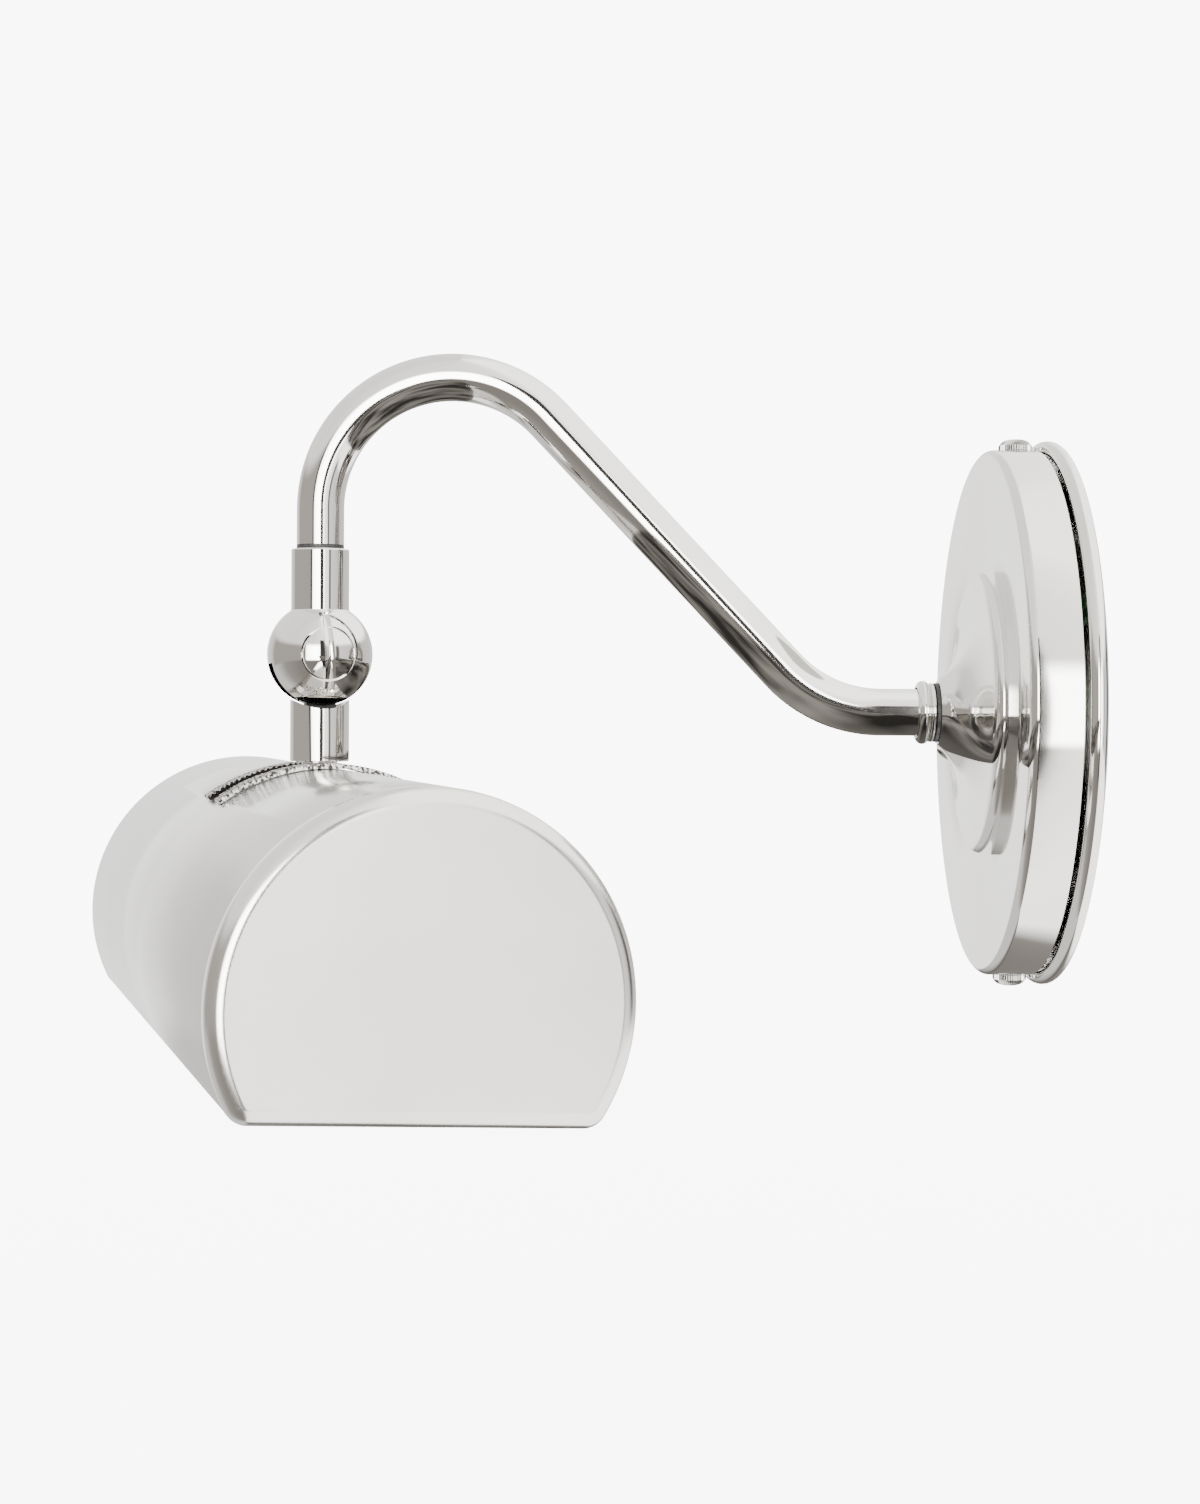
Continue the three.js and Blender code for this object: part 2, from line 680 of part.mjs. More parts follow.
// A strip beside the slot, toothed along its top.
function track() {
  const halfAngle = slotHalfAngle + 1;
  const inner = shadeRadius + gap;
  const teeth = Math.floor((2 * radians(halfAngle) * trackRadius) / trackToothPitch);
  const outline = [];
  for (let i = 0; i <= teeth * 2; i += 1) {
    const radius = trackRadius - (i % 2 ? 0 : trackToothDepth);
    outline.push(polar(radius, 90 - halfAngle + (halfAngle * i) / teeth));
  }
  outline.push(...arc(0, 0, inner, 90 + halfAngle, 90 - halfAngle, 24));
  const shape = new THREE.Shape(outline.map(([y, z]) => new THREE.Vector2(y, z)));
  return extrudedAlongX(shape, slotWidth / 2 + gap, slotWidth / 2 + gap + trackWidth);
}

// ---------- assembly ----------

const light = new THREE.Group();

const wallSide = new THREE.Group();
light.add(wallSide);
node(wallSide, 'back_plate', backPlate(), polishedNickel());
node(wallSide, 'mounting_strap', mountingStrap(), zincSteel());
const onStrap = (screw, offset) => outFromWall(moved(screw, 0, offset, 0));
node(wallSide, 'box_screw_top', onStrap(panScrew(boxScrewLength, 35), boxScrewOffset), zincSteel());
node(wallSide, 'box_screw_bottom', onStrap(panScrew(boxScrewLength, -20), -boxScrewOffset), zincSteel());
node(wallSide, 'ground_screw', onStrap(panScrew(strapThickness, 70), groundScrewOffset), greenSteel());
node(wallSide, 'canopy', canopy(), polishedNickel());

const thumbscrewTop = node(wallSide, 'thumbscrew_top', thumbscrew(), polishedNickel());
thumbscrewTop.position.y = -thumbscrewHeight;
const thumbscrewBottom = node(wallSide, 'thumbscrew_bottom', thumbscrew(), polishedNickel());
thumbscrewBottom.position.y = -thumbscrewHeight;
thumbscrewBottom.rotation.x = Math.PI;

const noseInside = bossNoseHeight - bossNoseWall - gap;
const lockWasher = ring(nippleRadius + 3, nippleRadius + gap, noseInside - washerThickness, noseInside);
const bossNutTop = noseInside - washerThickness - gap;
const bossNipple = ring(nippleRadius, nippleBoreRadius, bossNippleBack, tubeStart + 9);
const swingWasher = ring(7.2, nippleRadius + gap, swingWasherHeight, swingWasherHeight + washerThickness / 2);
node(wallSide, 'boss_nipple', outFromWall(bossNipple), brass());
node(wallSide, 'boss_lock_washer', outFromWall(lockWasher), zincSteel());
node(wallSide, 'boss_nut', outFromWall(nippleNut(bossNutTop)), zincSteel());
node(wallSide, 'swing_washer', outFromWall(swingWasher), nylon());

const arm = new THREE.Group();
light.add(arm);
node(arm, 'ring_collar', ringCollar(), polishedNickel());
node(arm, 'arm_tube', bentTube(armPath(), tubeRadius, tubeRadius - tubeWall, 14), polishedNickel());

const knuckle = new THREE.Group();
knuckle.position.set(0, -legReach, ballHeight);
knuckle.rotation.z = radians(headYaw);
light.add(knuckle);
const bushTop = tubeEnd - ballHeight + 9;
const tubeEndBush = ring(tubeRadius - tubeWall - gap, nippleBoreRadius, neckTop - neckBoreDepth + gap, bushTop);
const swivelWasher = ring(6, nippleRadius + gap, neckTop + gap, neckTop + gap + swivelWasherThickness);
node(knuckle, 'tube_end_bush', tubeEndBush, brass());
node(knuckle, 'swivel_washer', swivelWasher, nylon());
node(knuckle, 'ball_knuckle', ballKnuckle(), polishedNickel());
node(knuckle, 'pivot_screw', pivotScrew(), polishedNickel());
node(knuckle, 'pivot_nut', pivotNut(), polishedNickel());
for (const [name, side] of [['friction_washer_near', 1], ['friction_washer_far', -1]]) {
  const near = tongueThickness / 2 + gap;
  const washer = alongX(ring(eyeRadius - 0.6, shankBore, near, near + frictionWasherThickness));
  node(knuckle, name, side > 0 ? washer : washer.rotateZ(Math.PI), nylon());
}

const head = new THREE.Group();
knuckle.add(head);
node(head, 'tongue', tongue(), polishedNickel());
node(head, 'stem', stem(), polishedNickel());

const inShade = new THREE.Group();
inShade.position.z = -shadeDrop;
head.add(inShade);
const shadeNipple = ring(nippleRadius, nippleBoreRadius, nippleBottom, nippleTop + shadeDrop);
node(inShade, 'shade_nipple', shadeNipple, brass());
node(inShade, 'saddle_washer', saddleWasher(), zincSteel());
node(inShade, 'upper_nut', nippleNut(upperNutTop), zincSteel());
node(inShade, 'lower_nut', nippleNut(lowerNutTop), zincSteel());
node(inShade, 'socket_bracket', socketBracket(), zincSteel());
const socketCup = cup(socketRadius, socketWall, socketMouth, socketBack, socketWall);
const insulator = cup(insulatorRadius, insulatorWall, socketMouth + 1, insulatorBack, insulatorFloor);
node(inShade, 'socket_cup', socketCup, polishedNickel());
node(inShade, 'socket_insulator', insulator, porcelain());
node(inShade, 'socket_screw_shell', screwShell(), brass());
node(inShade, 'centre_contact', centreContact(), brass());
node(inShade, 'socket_screw', socketScrew(), zincSteel());

const shade = new THREE.Group();
shade.rotation.x = radians(shadeRoll);
inShade.add(shade);
node(shade, 'shade_shell', shadeShell(), polishedNickel());
node(shade, 'end_cap_near', endCap(), polishedNickel());
node(shade, 'end_cap_far', endCap(), polishedNickel()).rotation.z = Math.PI;
node(shade, 'track_near', track(), polishedNickel());
node(shade, 'track_far', track(), polishedNickel()).rotation.z = Math.PI;

export default light;
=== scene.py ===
import json
import math

import bmesh
import bpy
from mathutils import Matrix, Vector


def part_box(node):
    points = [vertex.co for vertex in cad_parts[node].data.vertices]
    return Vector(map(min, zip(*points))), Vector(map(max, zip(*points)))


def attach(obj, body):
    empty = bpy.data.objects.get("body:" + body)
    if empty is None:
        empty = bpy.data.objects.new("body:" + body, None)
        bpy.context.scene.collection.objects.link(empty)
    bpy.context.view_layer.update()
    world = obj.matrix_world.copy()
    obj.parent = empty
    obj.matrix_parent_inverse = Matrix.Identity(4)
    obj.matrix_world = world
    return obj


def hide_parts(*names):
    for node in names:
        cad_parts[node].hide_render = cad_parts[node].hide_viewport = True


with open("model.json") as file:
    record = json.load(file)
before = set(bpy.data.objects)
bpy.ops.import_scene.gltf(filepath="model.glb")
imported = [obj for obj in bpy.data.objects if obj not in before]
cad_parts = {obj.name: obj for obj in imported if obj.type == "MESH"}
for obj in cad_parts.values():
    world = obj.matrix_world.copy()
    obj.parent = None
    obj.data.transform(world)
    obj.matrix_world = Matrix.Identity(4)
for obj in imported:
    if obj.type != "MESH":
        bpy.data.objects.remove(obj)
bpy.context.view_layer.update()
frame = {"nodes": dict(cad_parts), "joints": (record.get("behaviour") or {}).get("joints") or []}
mm = 0.001
weldDistance = 0.002 * mm
hair = 0.01 * mm
print("frame loaded")


# placing and picking

def deselectAll():
    if bpy.context.mode != "OBJECT":
        bpy.ops.object.mode_set(mode="OBJECT")
    bpy.ops.object.select_all(action="DESELECT")


def only(piece):
    deselectAll()
    piece.select_set(True)
    bpy.context.view_layer.objects.active = piece


def named(name):
    piece = bpy.context.active_object
    piece.name = name
    piece.data.name = name
    bpy.ops.object.transform_apply(location=True, rotation=True, scale=True)
    bpy.ops.object.mode_set(mode="EDIT")
    return piece


def pickVerts(piece, test):
    bpy.ops.mesh.select_mode(type="VERT")
    mesh = bmesh.from_edit_mesh(piece.data)
    for vert in mesh.verts:
        vert.select_set(bool(test(vert.co)))
    mesh.select_flush_mode()
    bmesh.update_edit_mesh(piece.data)


def pickFaces(piece, test):
    bpy.ops.mesh.select_mode(type="FACE")
    mesh = bmesh.from_edit_mesh(piece.data)
    for face in mesh.faces:
        face.select_set(bool(test(face)))
    bmesh.update_edit_mesh(piece.data)


def pickEdges(piece, test):
    bpy.ops.mesh.select_mode(type="EDGE")
    mesh = bmesh.from_edit_mesh(piece.data)
    for edge in mesh.edges:
        edge.select_set(False)
    for edge in mesh.edges:
        if test(edge.verts[0].co, edge.verts[1].co):
            edge.select_set(True)
    bmesh.update_edit_mesh(piece.data)


def mergeAndFace():
    bpy.ops.mesh.select_mode(type="VERT")
    bpy.ops.mesh.select_all(action="SELECT")
    bpy.ops.mesh.remove_doubles(threshold=weldDistance)
    bpy.ops.mesh.select_all(action="SELECT")
    bpy.ops.mesh.normals_make_consistent(inside=False)


def addModifier(piece, kind, **values):
    only(piece)
    modifier = piece.modifiers.new(kind.lower(), kind)
    for key, value in values.items():
        setattr(modifier, key, value)
    bpy.ops.object.modifier_apply(modifier=modifier.name)


def softenEdges(piece, width, segments, above):
    addModifier(
        piece, "BEVEL", width=width * mm, segments=segments,
        limit_method="ANGLE", angle_limit=math.radians(above),
    )


def cutWith(piece, *cutters):
    for cutter in cutters:
        addModifier(piece, "BOOLEAN", operation="DIFFERENCE", object=cutter, solver="EXACT")
        bpy.data.objects.remove(cutter)


def putInPlace(piece, place):
    only(piece)
    piece.matrix_world = place
    bpy.ops.object.transform_apply(location=True, rotation=True, scale=True)


def finishPiece(piece, body, material, nodes, place=Matrix.Identity(4), smooth=32):
    putInPlace(piece, place)
    bpy.ops.object.shade_smooth_by_angle(angle=math.radians(smooth))
    piece.data.materials.clear()
    piece.data.materials.append(material)
    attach(piece, body)
    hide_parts(*nodes)
    return piece


def arc(radius, height, curve, start, end, steps):
    turns = [math.radians(start + (end - start) * i / steps) for i in range(steps + 1)]
    return [(radius + curve * math.cos(a), height + curve * math.sin(a)) for a in turns]


def bezier(a, b, c, d, steps):
    points = []
    for i in range(steps + 1):
        t = i / steps
        weights = ((1 - t) ** 3, 3 * t * (1 - t) ** 2, 3 * t * t * (1 - t), t ** 3)
        points.append(tuple(sum(w * p[k] for w, p in zip(weights, (a, b, c, d))) for k in (0, 1)))
    return points


# a piece that is a single point so far
def startPoint(name, place):
    deselectAll()
    bpy.ops.mesh.primitive_plane_add(size=mm, location=place)
    piece = named(name)
    bpy.ops.mesh.select_mode(type="VERT")
    bpy.ops.mesh.select_all(action="SELECT")
    bpy.ops.mesh.merge(type="CENTER")
    return piece


def extrudeBy(step):
    bpy.ops.mesh.extrude_region_move(TRANSFORM_OT_translate={"value": step})


# one point is walked round the profile, in millimetres of radius and height, then spun about Z
def turnOnLathe(name, profile, steps=128, closed=True):
    walk = [Vector((r * mm, 0, h * mm)) for r, h in profile]
    if closed and (walk[0] - walk[-1]).length > 0.001 * mm and max(walk[0].x, walk[-1].x) > 0:
        walk.append(walk[0].copy())
    piece = startPoint(name, walk[0])
    for here, there in zip(walk, walk[1:]):
        extrudeBy(there - here)
    bpy.ops.mesh.select_all(action="SELECT")
    bpy.ops.mesh.spin(steps=steps, angle=2 * math.pi, center=(0, 0, 0), axis=(0, 0, 1))
    mergeAndFace()
    deselectAll()
    return piece


# one point is walked along the given places, from the first to the last
def walkAlong(name, places):
    walk = [Vector(place) * mm for place in places]
    piece = startPoint(name, walk[0])
    for here, there in zip(walk, walk[1:]):
        extrudeBy(there - here)
    bpy.ops.mesh.select_all(action="SELECT")
    bpy.ops.mesh.remove_doubles(threshold=weldDistance)
    bpy.ops.mesh.select_all(action="SELECT")
    return piece


def rodAlong(radius, low, high, sides=96):
    deselectAll()
    bpy.ops.mesh.primitive_cylinder_add(
        vertices=sides, radius=radius * mm, depth=(high - low) * mm,
        location=(0, 0, (high + low) / 2 * mm),
    )
    bpy.ops.object.transform_apply(location=True)
    return bpy.context.active_object


def blockOf(x, y, z):
    deselectAll()
    size = [(b - a) * mm for a, b in (x, y, z)]
    middle = [(b + a) / 2 * mm for a, b in (x, y, z)]
    bpy.ops.mesh.primitive_cube_add(size=1, location=middle)
    bpy.context.active_object.scale = size
    bpy.ops.object.transform_apply(location=True, scale=True)
    return bpy.context.active_object


# materials

def addNode(tree, kind, **values):
    node = tree.nodes.new(kind)
    for key, value in values.items():
        if key in node.inputs:
            node.inputs[key].default_value = value
        else:
            setattr(node, key, value)
    return node


def plainMaterial(name, **values):
    material = bpy.data.materials.new(name)
    material.use_nodes = True
    shader = material.node_tree.nodes["Principled BSDF"]
    for key, value in values.items():
        shader.inputs[key].default_value = value
    return material, material.node_tree, shader


def ramp(tree, source, low, high, fromLow=0.35, fromHigh=0.65):
    colours = addNode(tree, "ShaderNodeValToRGB")
    colours.color_ramp.elements[0].position = fromLow
    colours.color_ramp.elements[1].position = fromHigh
    colours.color_ramp.elements[0].color = (*low, 1)
    colours.color_ramp.elements[1].color = (*high, 1)
    tree.links.new(source, colours.inputs["Fac"])
    return colours.outputs["Color"]


def measured(tree, source, low, high):
    spread = addNode(tree, "ShaderNodeMapRange", **{"To Min": low, "To Max": high})
    tree.links.new(source, spread.inputs["Value"])
    return spread.outputs["Result"]


def stretchedNoise(tree, scale, turn=(0, 0, 0), stretch=(1, 1, 1), detail=3):
    place = addNode(tree, "ShaderNodeTexCoord")
    mapping = addNode(tree, "ShaderNodeMapping", Rotation=turn, Scale=stretch)
    noise = addNode(tree, "ShaderNodeTexNoise", Scale=scale, Detail=detail)
    tree.links.new(place.outputs["Object"], mapping.inputs["Vector"])
    tree.links.new(mapping.outputs["Vector"], noise.inputs["Vector"])
    return noise.outputs["Fac"]


nickelLook = {
    "dull": (0.70, 0.685, 0.655),
    "bright": (0.80, 0.79, 0.765),
    "polish": 0.035,
    "haze": 0.085,
    "wave": 0.00010,
    "waveScale": 22,
    "lineScale": 900,
}


def polishedNickel(
    name, turn=(0, 0, 0), stretch=(1, 1, 0.02), lines=0.03, haze=None, wave=1.0, polish=None, tone=1.0
):
    material, tree, shader = plainMaterial(name, Metallic=1.0)
    patches = stretchedNoise(tree, 14, detail=4)
    # a tone below 1 makes a darker copy of the nickel, used as painted shade
    dull, bright = ([channel * tone for channel in nickelLook[key]] for key in ("dull", "bright"))
    tree.links.new(ramp(tree, patches, dull, bright), shader.inputs["Base Color"])
    cloud = stretchedNoise(tree, 45, turn, stretch, 5)
    rough = measured(tree, cloud, polish or nickelLook["polish"], haze or nickelLook["haze"])
    tree.links.new(rough, shader.inputs["Roughness"])
    fine = stretchedNoise(tree, nickelLook["lineScale"], turn, stretch, 2)
    broad = stretchedNoise(tree, nickelLook["waveScale"], detail=1)
    lineBump = addNode(tree, "ShaderNodeBump", Strength=lines, Distance=0.02 * mm)
    waveBump = addNode(tree, "ShaderNodeBump", Strength=wave, Distance=nickelLook["wave"])
    tree.links.new(fine, lineBump.inputs["Height"])
    tree.links.new(broad, waveBump.inputs["Height"])
    tree.links.new(waveBump.outputs["Normal"], lineBump.inputs["Normal"])
    tree.links.new(lineBump.outputs["Normal"], shader.inputs["Normal"])
    return material


def speckledMaterial(name, low, high, rough, scale, bump, stretch=(1, 1, 1), **values):
    material, tree, shader = plainMaterial(name, **values)
    tone = stretchedNoise(tree, scale, stretch=stretch, detail=5)
    tree.links.new(ramp(tree, tone, low, high), shader.inputs["Base Color"])
    tree.links.new(measured(tree, tone, *rough), shader.inputs["Roughness"])
    relief = addNode(tree, "ShaderNodeBump", Strength=bump, Distance=0.03 * mm)
    tree.links.new(stretchedNoise(tree, scale * 6, stretch=stretch), relief.inputs["Height"])
    tree.links.new(relief.outputs["Normal"], shader.inputs["Normal"])
    return material


zincSteel = speckledMaterial(
    "zincSteel", (0.42, 0.43, 0.42), (0.60, 0.60, 0.57), (0.28, 0.48), 260, 0.25, Metallic=1.0
)
turnedBrass = speckledMaterial(
    "turnedBrass", (0.62, 0.45, 0.20), (0.76, 0.58, 0.29), (0.16, 0.32), 180, 0.2, (1, 1, 6), Metallic=1.0
)
blackNylon = speckledMaterial(
    "blackNylon", (0.012, 0.012, 0.012), (0.03, 0.03, 0.03), (0.45, 0.62), 420, 0.3
)
# near-black steel for the tongue: painted shade for the shadow in the ball's slot
paintedShadeSteel = speckledMaterial(
    "paintedShadeSteel", (0.03, 0.03, 0.03), (0.07, 0.065, 0.06), (0.35, 0.5), 300, 0.2, Metallic=0.8
)
greenSteel = speckledMaterial(
    "greenSteel", (0.03, 0.18, 0.06), (0.06, 0.28, 0.10), (0.3, 0.45), 300, 0.2, Metallic=0.6
)
glazedPorcelain = speckledMaterial(
    "glazedPorcelain", (0.74, 0.71, 0.63), (0.84, 0.82, 0.76), (0.12, 0.26), 120, 0.15,
    **{"Coat Weight": 0.4},
)
print("materials made")


# places of the moving groups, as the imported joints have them

joints = {joint["name"]: joint for joint in frame["joints"]}
ballCentre = Vector(joints["head_tilt"]["pos_m"])
pivotAxis = Vector(joints["head_tilt"]["axis"])
yaw = math.atan2(pivotAxis.y, pivotAxis.x)
shadeCentre = Vector(joints["shade_roll"]["pos_m"])
shadeTilt = math.radians(-3.3)
wallPlace = Matrix.Rotation(math.pi / 2, 4, "X")  # height on the lathe stands out from the wall
sideways = Matrix.Rotation(math.pi / 2, 4, "Y")  # height on the lathe runs along the pivot
knucklePlace = Matrix.Translation(ballCentre) @ Matrix.Rotation(yaw, 4, "Z")
holderPlace = Matrix.Translation(shadeCentre) @ Matrix.Rotation(yaw, 4, "Z")
shadePlace = holderPlace @ Matrix.Rotation(shadeTilt, 4, "X")
alongShade = (0, 0, -yaw)

nickelWall = polishedNickel("nickelWall", stretch=(0.03, 1, 0.03), lines=0.05)
nickelTube = polishedNickel("nickelTube", stretch=(1, 0.15, 0.15), lines=0.05, wave=1.7)
nickelKnuckle = polishedNickel("nickelKnuckle", stretch=(1, 1, 0.3), lines=0.02, haze=0.06)
nickelStem = polishedNickel("nickelStem", stretch=(1, 1, 0.03), lines=0.04)
# the shell's nickel is 8% darker than the near cap's, a shaded copy of the same nickel as painted shade
nickelShade = polishedNickel(
    "nickelShade", alongShade, (1, 0.05, 0.05), lines=0.04, haze=0.24, polish=0.1, tone=0.92
)
nickelCap = polishedNickel("nickelCap", alongShade, (0.05, 1, 0.03), lines=0.03, haze=0.26, polish=0.14)
# the thumbscrews' nickel at 0.62 of the usual brightness: a shaded copy that paints the shade among their
# knurls
nickelScrewShaded = polishedNickel(
    "nickelScrewShaded", stretch=(1, 1, 1), lines=0.05, haze=0.2, polish=0.1, tone=0.62
)
satinNickel = polishedNickel("satinNickel", stretch=(1, 1, 1), lines=0.1, haze=0.3)


toothLook = {
    "hollow": (0.06, 0.055, 0.05), "point": (0.95, 0.93, 0.9), "paintedSlotShade": (0.03, 0.027, 0.025, 1),
    "glintSpeckle": 1100, "slotShadeReach": 5.75,
}


# painted glints on the tooth points and painted shade in their hollows, and painted shade on the faces
# towards the slot
def toothedNickel(name):
    look = toothLook
    material, tree, shader = plainMaterial(name, Metallic=1.0)
    # a speckle between painted shade and painted glint stands in for the light each tooth facet reflects
    glintSpeckle = stretchedNoise(tree, look["glintSpeckle"], detail=2)
    points = ramp(tree, glintSpeckle, look["hollow"], look["point"], 0.42, 0.56)
    place = addNode(tree, "ShaderNodeTexCoord")
    along = addNode(tree, "ShaderNodeVectorMath", operation="DOT_PRODUCT")
    along.inputs[1].default_value = pivotAxis
    fromCentre = addNode(tree, "ShaderNodeMath", operation="SUBTRACT")
    fromCentre.inputs[1].default_value = shadeCentre.dot(pivotAxis)
    away = addNode(tree, "ShaderNodeMath", operation="ABSOLUTE")
    pastSlotShade = addNode(tree, "ShaderNodeMath", operation="GREATER_THAN")
    pastSlotShade.inputs[1].default_value = look["slotShadeReach"] * mm
    tree.links.new(place.outputs["Object"], along.inputs[0])
    tree.links.new(along.outputs["Value"], fromCentre.inputs[0])
    tree.links.new(fromCentre.outputs["Value"], away.inputs[0])
    tree.links.new(away.outputs["Value"], pastSlotShade.inputs[0])
    # faces within the slot's reach take a near-black painted shade
    mix = addNode(tree, "ShaderNodeMix", data_type="RGBA")
    mix.inputs[6].default_value = look["paintedSlotShade"]
    tree.links.new(pastSlotShade.outputs["Value"], mix.inputs[0])
    tree.links.new(points, mix.inputs[7])
    tree.links.new(mix.outputs[2], shader.inputs["Base Color"])
    tree.links.new(measured(tree, stretchedNoise(tree, 700), 0.12, 0.4), shader.inputs["Roughness"])
    return material


nickelTrack = toothedNickel("nickelTrack")


# back plate and canopy

wallLook = {
    "plateRadius": 72.3, "plateThickness": 1.5, "plateHole": 19.0, "bead": 2.2,
    "rim": 69.85, "face": 18.4, "edge": 2.2, "back": 5.3, "wall": 1.3,
    "bossBase": 37.5, "bossCrown": 34.0, "crownRise": 2.1, "groove": 5.0, "grooveDepth": 0.25,
    "nose": 8.8, "noseHeight": 29.4, "noseWall": 3.0, "bore": 5.1,
}


def makeBackPlate():
    look = wallLook
    crest = look["plateRadius"] - look["bead"]
    profile = [(look["plateHole"], 0.0)] + arc(crest, look["bead"], look["bead"], -90, 205, 40)
    profile += [(crest - 2 * look["bead"], look["plateThickness"] + 0.2)]
    profile += [(crest - 2.4 * look["bead"], look["plateThickness"])]
    profile += [(look["plateHole"], look["plateThickness"])]
    plate = turnOnLathe("backPlateDisc", profile, 192)
    finishPiece(plate, "wall_mount", nickelWall, ["back_plate"], wallPlace)


def makeCanopy():
    look = wallLook
    rim, face, edge, wall = look["rim"], look["face"], look["edge"], look["wall"]
    base, crown, rise = look["bossBase"], look["bossCrown"], look["crownRise"]
    shoulder = bezier(
        (base, face), (base - 0.1, face + 1.2), (crown + 2.3, face + 1.8), (crown, face + rise), 14
    )
    sweep = bezier(
        (crown, face + rise), (crown - 10, face + 3.3),
        (look["nose"] + 4.7, face + 4.8), (look["nose"], look["noseHeight"] - 0.3), 44,
    )
    back, inner, floor = look["back"], look["noseHeight"] - look["noseWall"], face - look["grooveDepth"]
    profile = [(rim - wall, back + 0.3), (rim - wall + 0.3, back), (rim - 0.3, back)]
    profile += [(rim, back + 0.3)] + arc(rim - edge, face - edge, edge, 0, 90, 14)
    # a shallow groove round the boss
    profile += [(base + look["groove"], face), (base + look["groove"] - 0.6, floor)]
    profile += [(base + 1.2, floor), (base + 0.4, face - 0.1)]
    profile += shoulder + sweep[1:]
    profile += [(look["nose"] - 0.3, look["noseHeight"]), (look["bore"], look["noseHeight"])]
    inside = [(look["bore"], inner), (look["nose"] + 0.6, inner)]
    inside += [(r, h - wall) for r, h in reversed(sweep) if look["nose"] + 1.6 < r < crown - 1]
    inside += [(base - 1, face - wall - 0.3), (rim - 2 * edge, face - wall - 0.3)]
    inside += [(rim - wall, face - edge - wall)]
    canopy = turnOnLathe("canopyShell", profile + inside, 224)
    finishPiece(canopy, "wall_mount", nickelWall, ["canopy"], wallPlace)


thumbscrewLook = {
    "radius": 4.45, "band": 1.25, "height": 3.0, "teeth": 40, "depth": 0.9, "seat": 70.15, "out": 9.2,
    "shank": 1.9, "shankLength": 4.2,
    "dome": ((0.94, 0.6), (0.95, 1.5), (0.9, 1.4), (0.82, 1.2), (0.66, 0.9), (0.4, 0.4)),
}


def makeThumbscrew(name, node, turn):
    look = thumbscrewLook
    deselectAll()
    bpy.ops.mesh.primitive_cylinder_add(
        vertices=look["teeth"] * 2, radius=look["radius"] * mm, depth=look["band"] * mm,
        location=(0, 0, (look["seat"] + look["band"] / 2) * mm),
    )
    screw = named(name)
    bandTop = (look["seat"] + look["band"]) * mm
    step = math.pi / look["teeth"]
    pickVerts(screw, lambda co: round(math.atan2(co.x, co.y) / step) % 2)
    bpy.ops.transform.resize(value=(look["depth"], look["depth"], 1), center_override=(0, 0, 0))
    pickFaces(screw, lambda face: face.normal.z > 0.9 and face.calc_center_median().z > bandTop - 0.1 * mm)
    rise = (look["height"] - look["band"]) / len(look["dome"])
    for shrink, lift in look["dome"]:
        extrudeBy((0, 0, rise * lift * mm))
        bpy.ops.transform.resize(value=(shrink, shrink, 1))
    pickFaces(screw, lambda face: face.normal.z < -0.9)
    bpy.ops.mesh.inset(thickness=(look["radius"] - look["shank"]) * mm)
    extrudeBy((0, 0, -look["shankLength"] * mm))
    deselectAll()
    place = Matrix.Translation((0, -look["out"] * mm, 0)) @ Matrix.Rotation(turn, 4, "X")
    finishPiece(screw, "wall_mount", nickelScrewShaded, [node], place, 30)


swingWasherLook = {"bore": 5.1, "outer": 7.9, "low": 29.5, "high": 30.4}


def makeWasher(name, node, body, place, look):
    bore, outer, low, high = look["bore"], look["outer"], look["low"], look["high"]
    washer = turnOnLathe(name, [(bore, low), (outer, low), (outer, high), (bore, high)], 96)
    finishPiece(washer, body, blackNylon, [node], place)


makeBackPlate()
makeCanopy()
makeThumbscrew("thumbscrewTopHead", "thumbscrew_top", 0)
makeThumbscrew("thumbscrewBottomHead", "thumbscrew_bottom", math.pi)
makeWasher("swingWasherRing", "swing_washer", "wall_mount", wallPlace, swingWasherLook)
print("wall side made")


# arm

armLook = {
    "radius": 6.3, "wall": 1.2, "reach": 194.5, "legEnd": 43.4, "start": 30.9, "topHeight": 53.0,
    "topBend": 35.2, "lowBend": 36.0, "slope": 46.4,
}


def makeArmTube():
    look = armLook
    slope = math.radians(look["slope"])
    across, up = math.sin(slope), math.cos(slope)
    topCentre = Vector((0, look["topBend"] - look["reach"], look["topHeight"])) * mm
    slopeStart = topCentre + Vector((0, across, up)) * look["topBend"] * mm
    drop = slopeStart.z - look["lowBend"] * mm * (1 - up)
    slopeEnd = slopeStart + Vector((0, drop / math.tan(slope), -drop))
    lowCentre = slopeEnd + Vector((0, across, up)) * look["lowBend"] * mm
    deselectAll()
    bpy.ops.mesh.primitive_circle_add(
        vertices=64, radius=look["radius"] * mm, location=(0, -look["reach"] * mm, look["legEnd"] * mm)
    )
    tube = named("armTubeBent")
    leg = (look["topHeight"] - look["legEnd"]) * mm
    extrudeBy((0, 0, leg))
    bpy.ops.mesh.spin(steps=72, angle=math.radians(90) + slope, center=topCentre, axis=(1, 0, 0))
    extrudeBy(slopeEnd - slopeStart)
    bpy.ops.mesh.spin(steps=28, angle=-slope, center=lowCentre, axis=(1, 0, 0))
    toWall = -look["start"] * mm - lowCentre.y
    extrudeBy((0, toWall, 0))
    mergeAndFace()
    deselectAll()
    addModifier(tube, "SOLIDIFY", thickness=look["wall"] * mm, offset=-1)
    finishPiece(tube, "arm", nickelTube, ["arm_tube"])


# a large bead with a small step behind it, as shares of the length
collarLook = {
    "radius": 8.5, "low": 30.5, "length": 4.6, "bead": 0.36, "step": 0.15, "stepDrop": 1.1, "gap": 0.3,
}


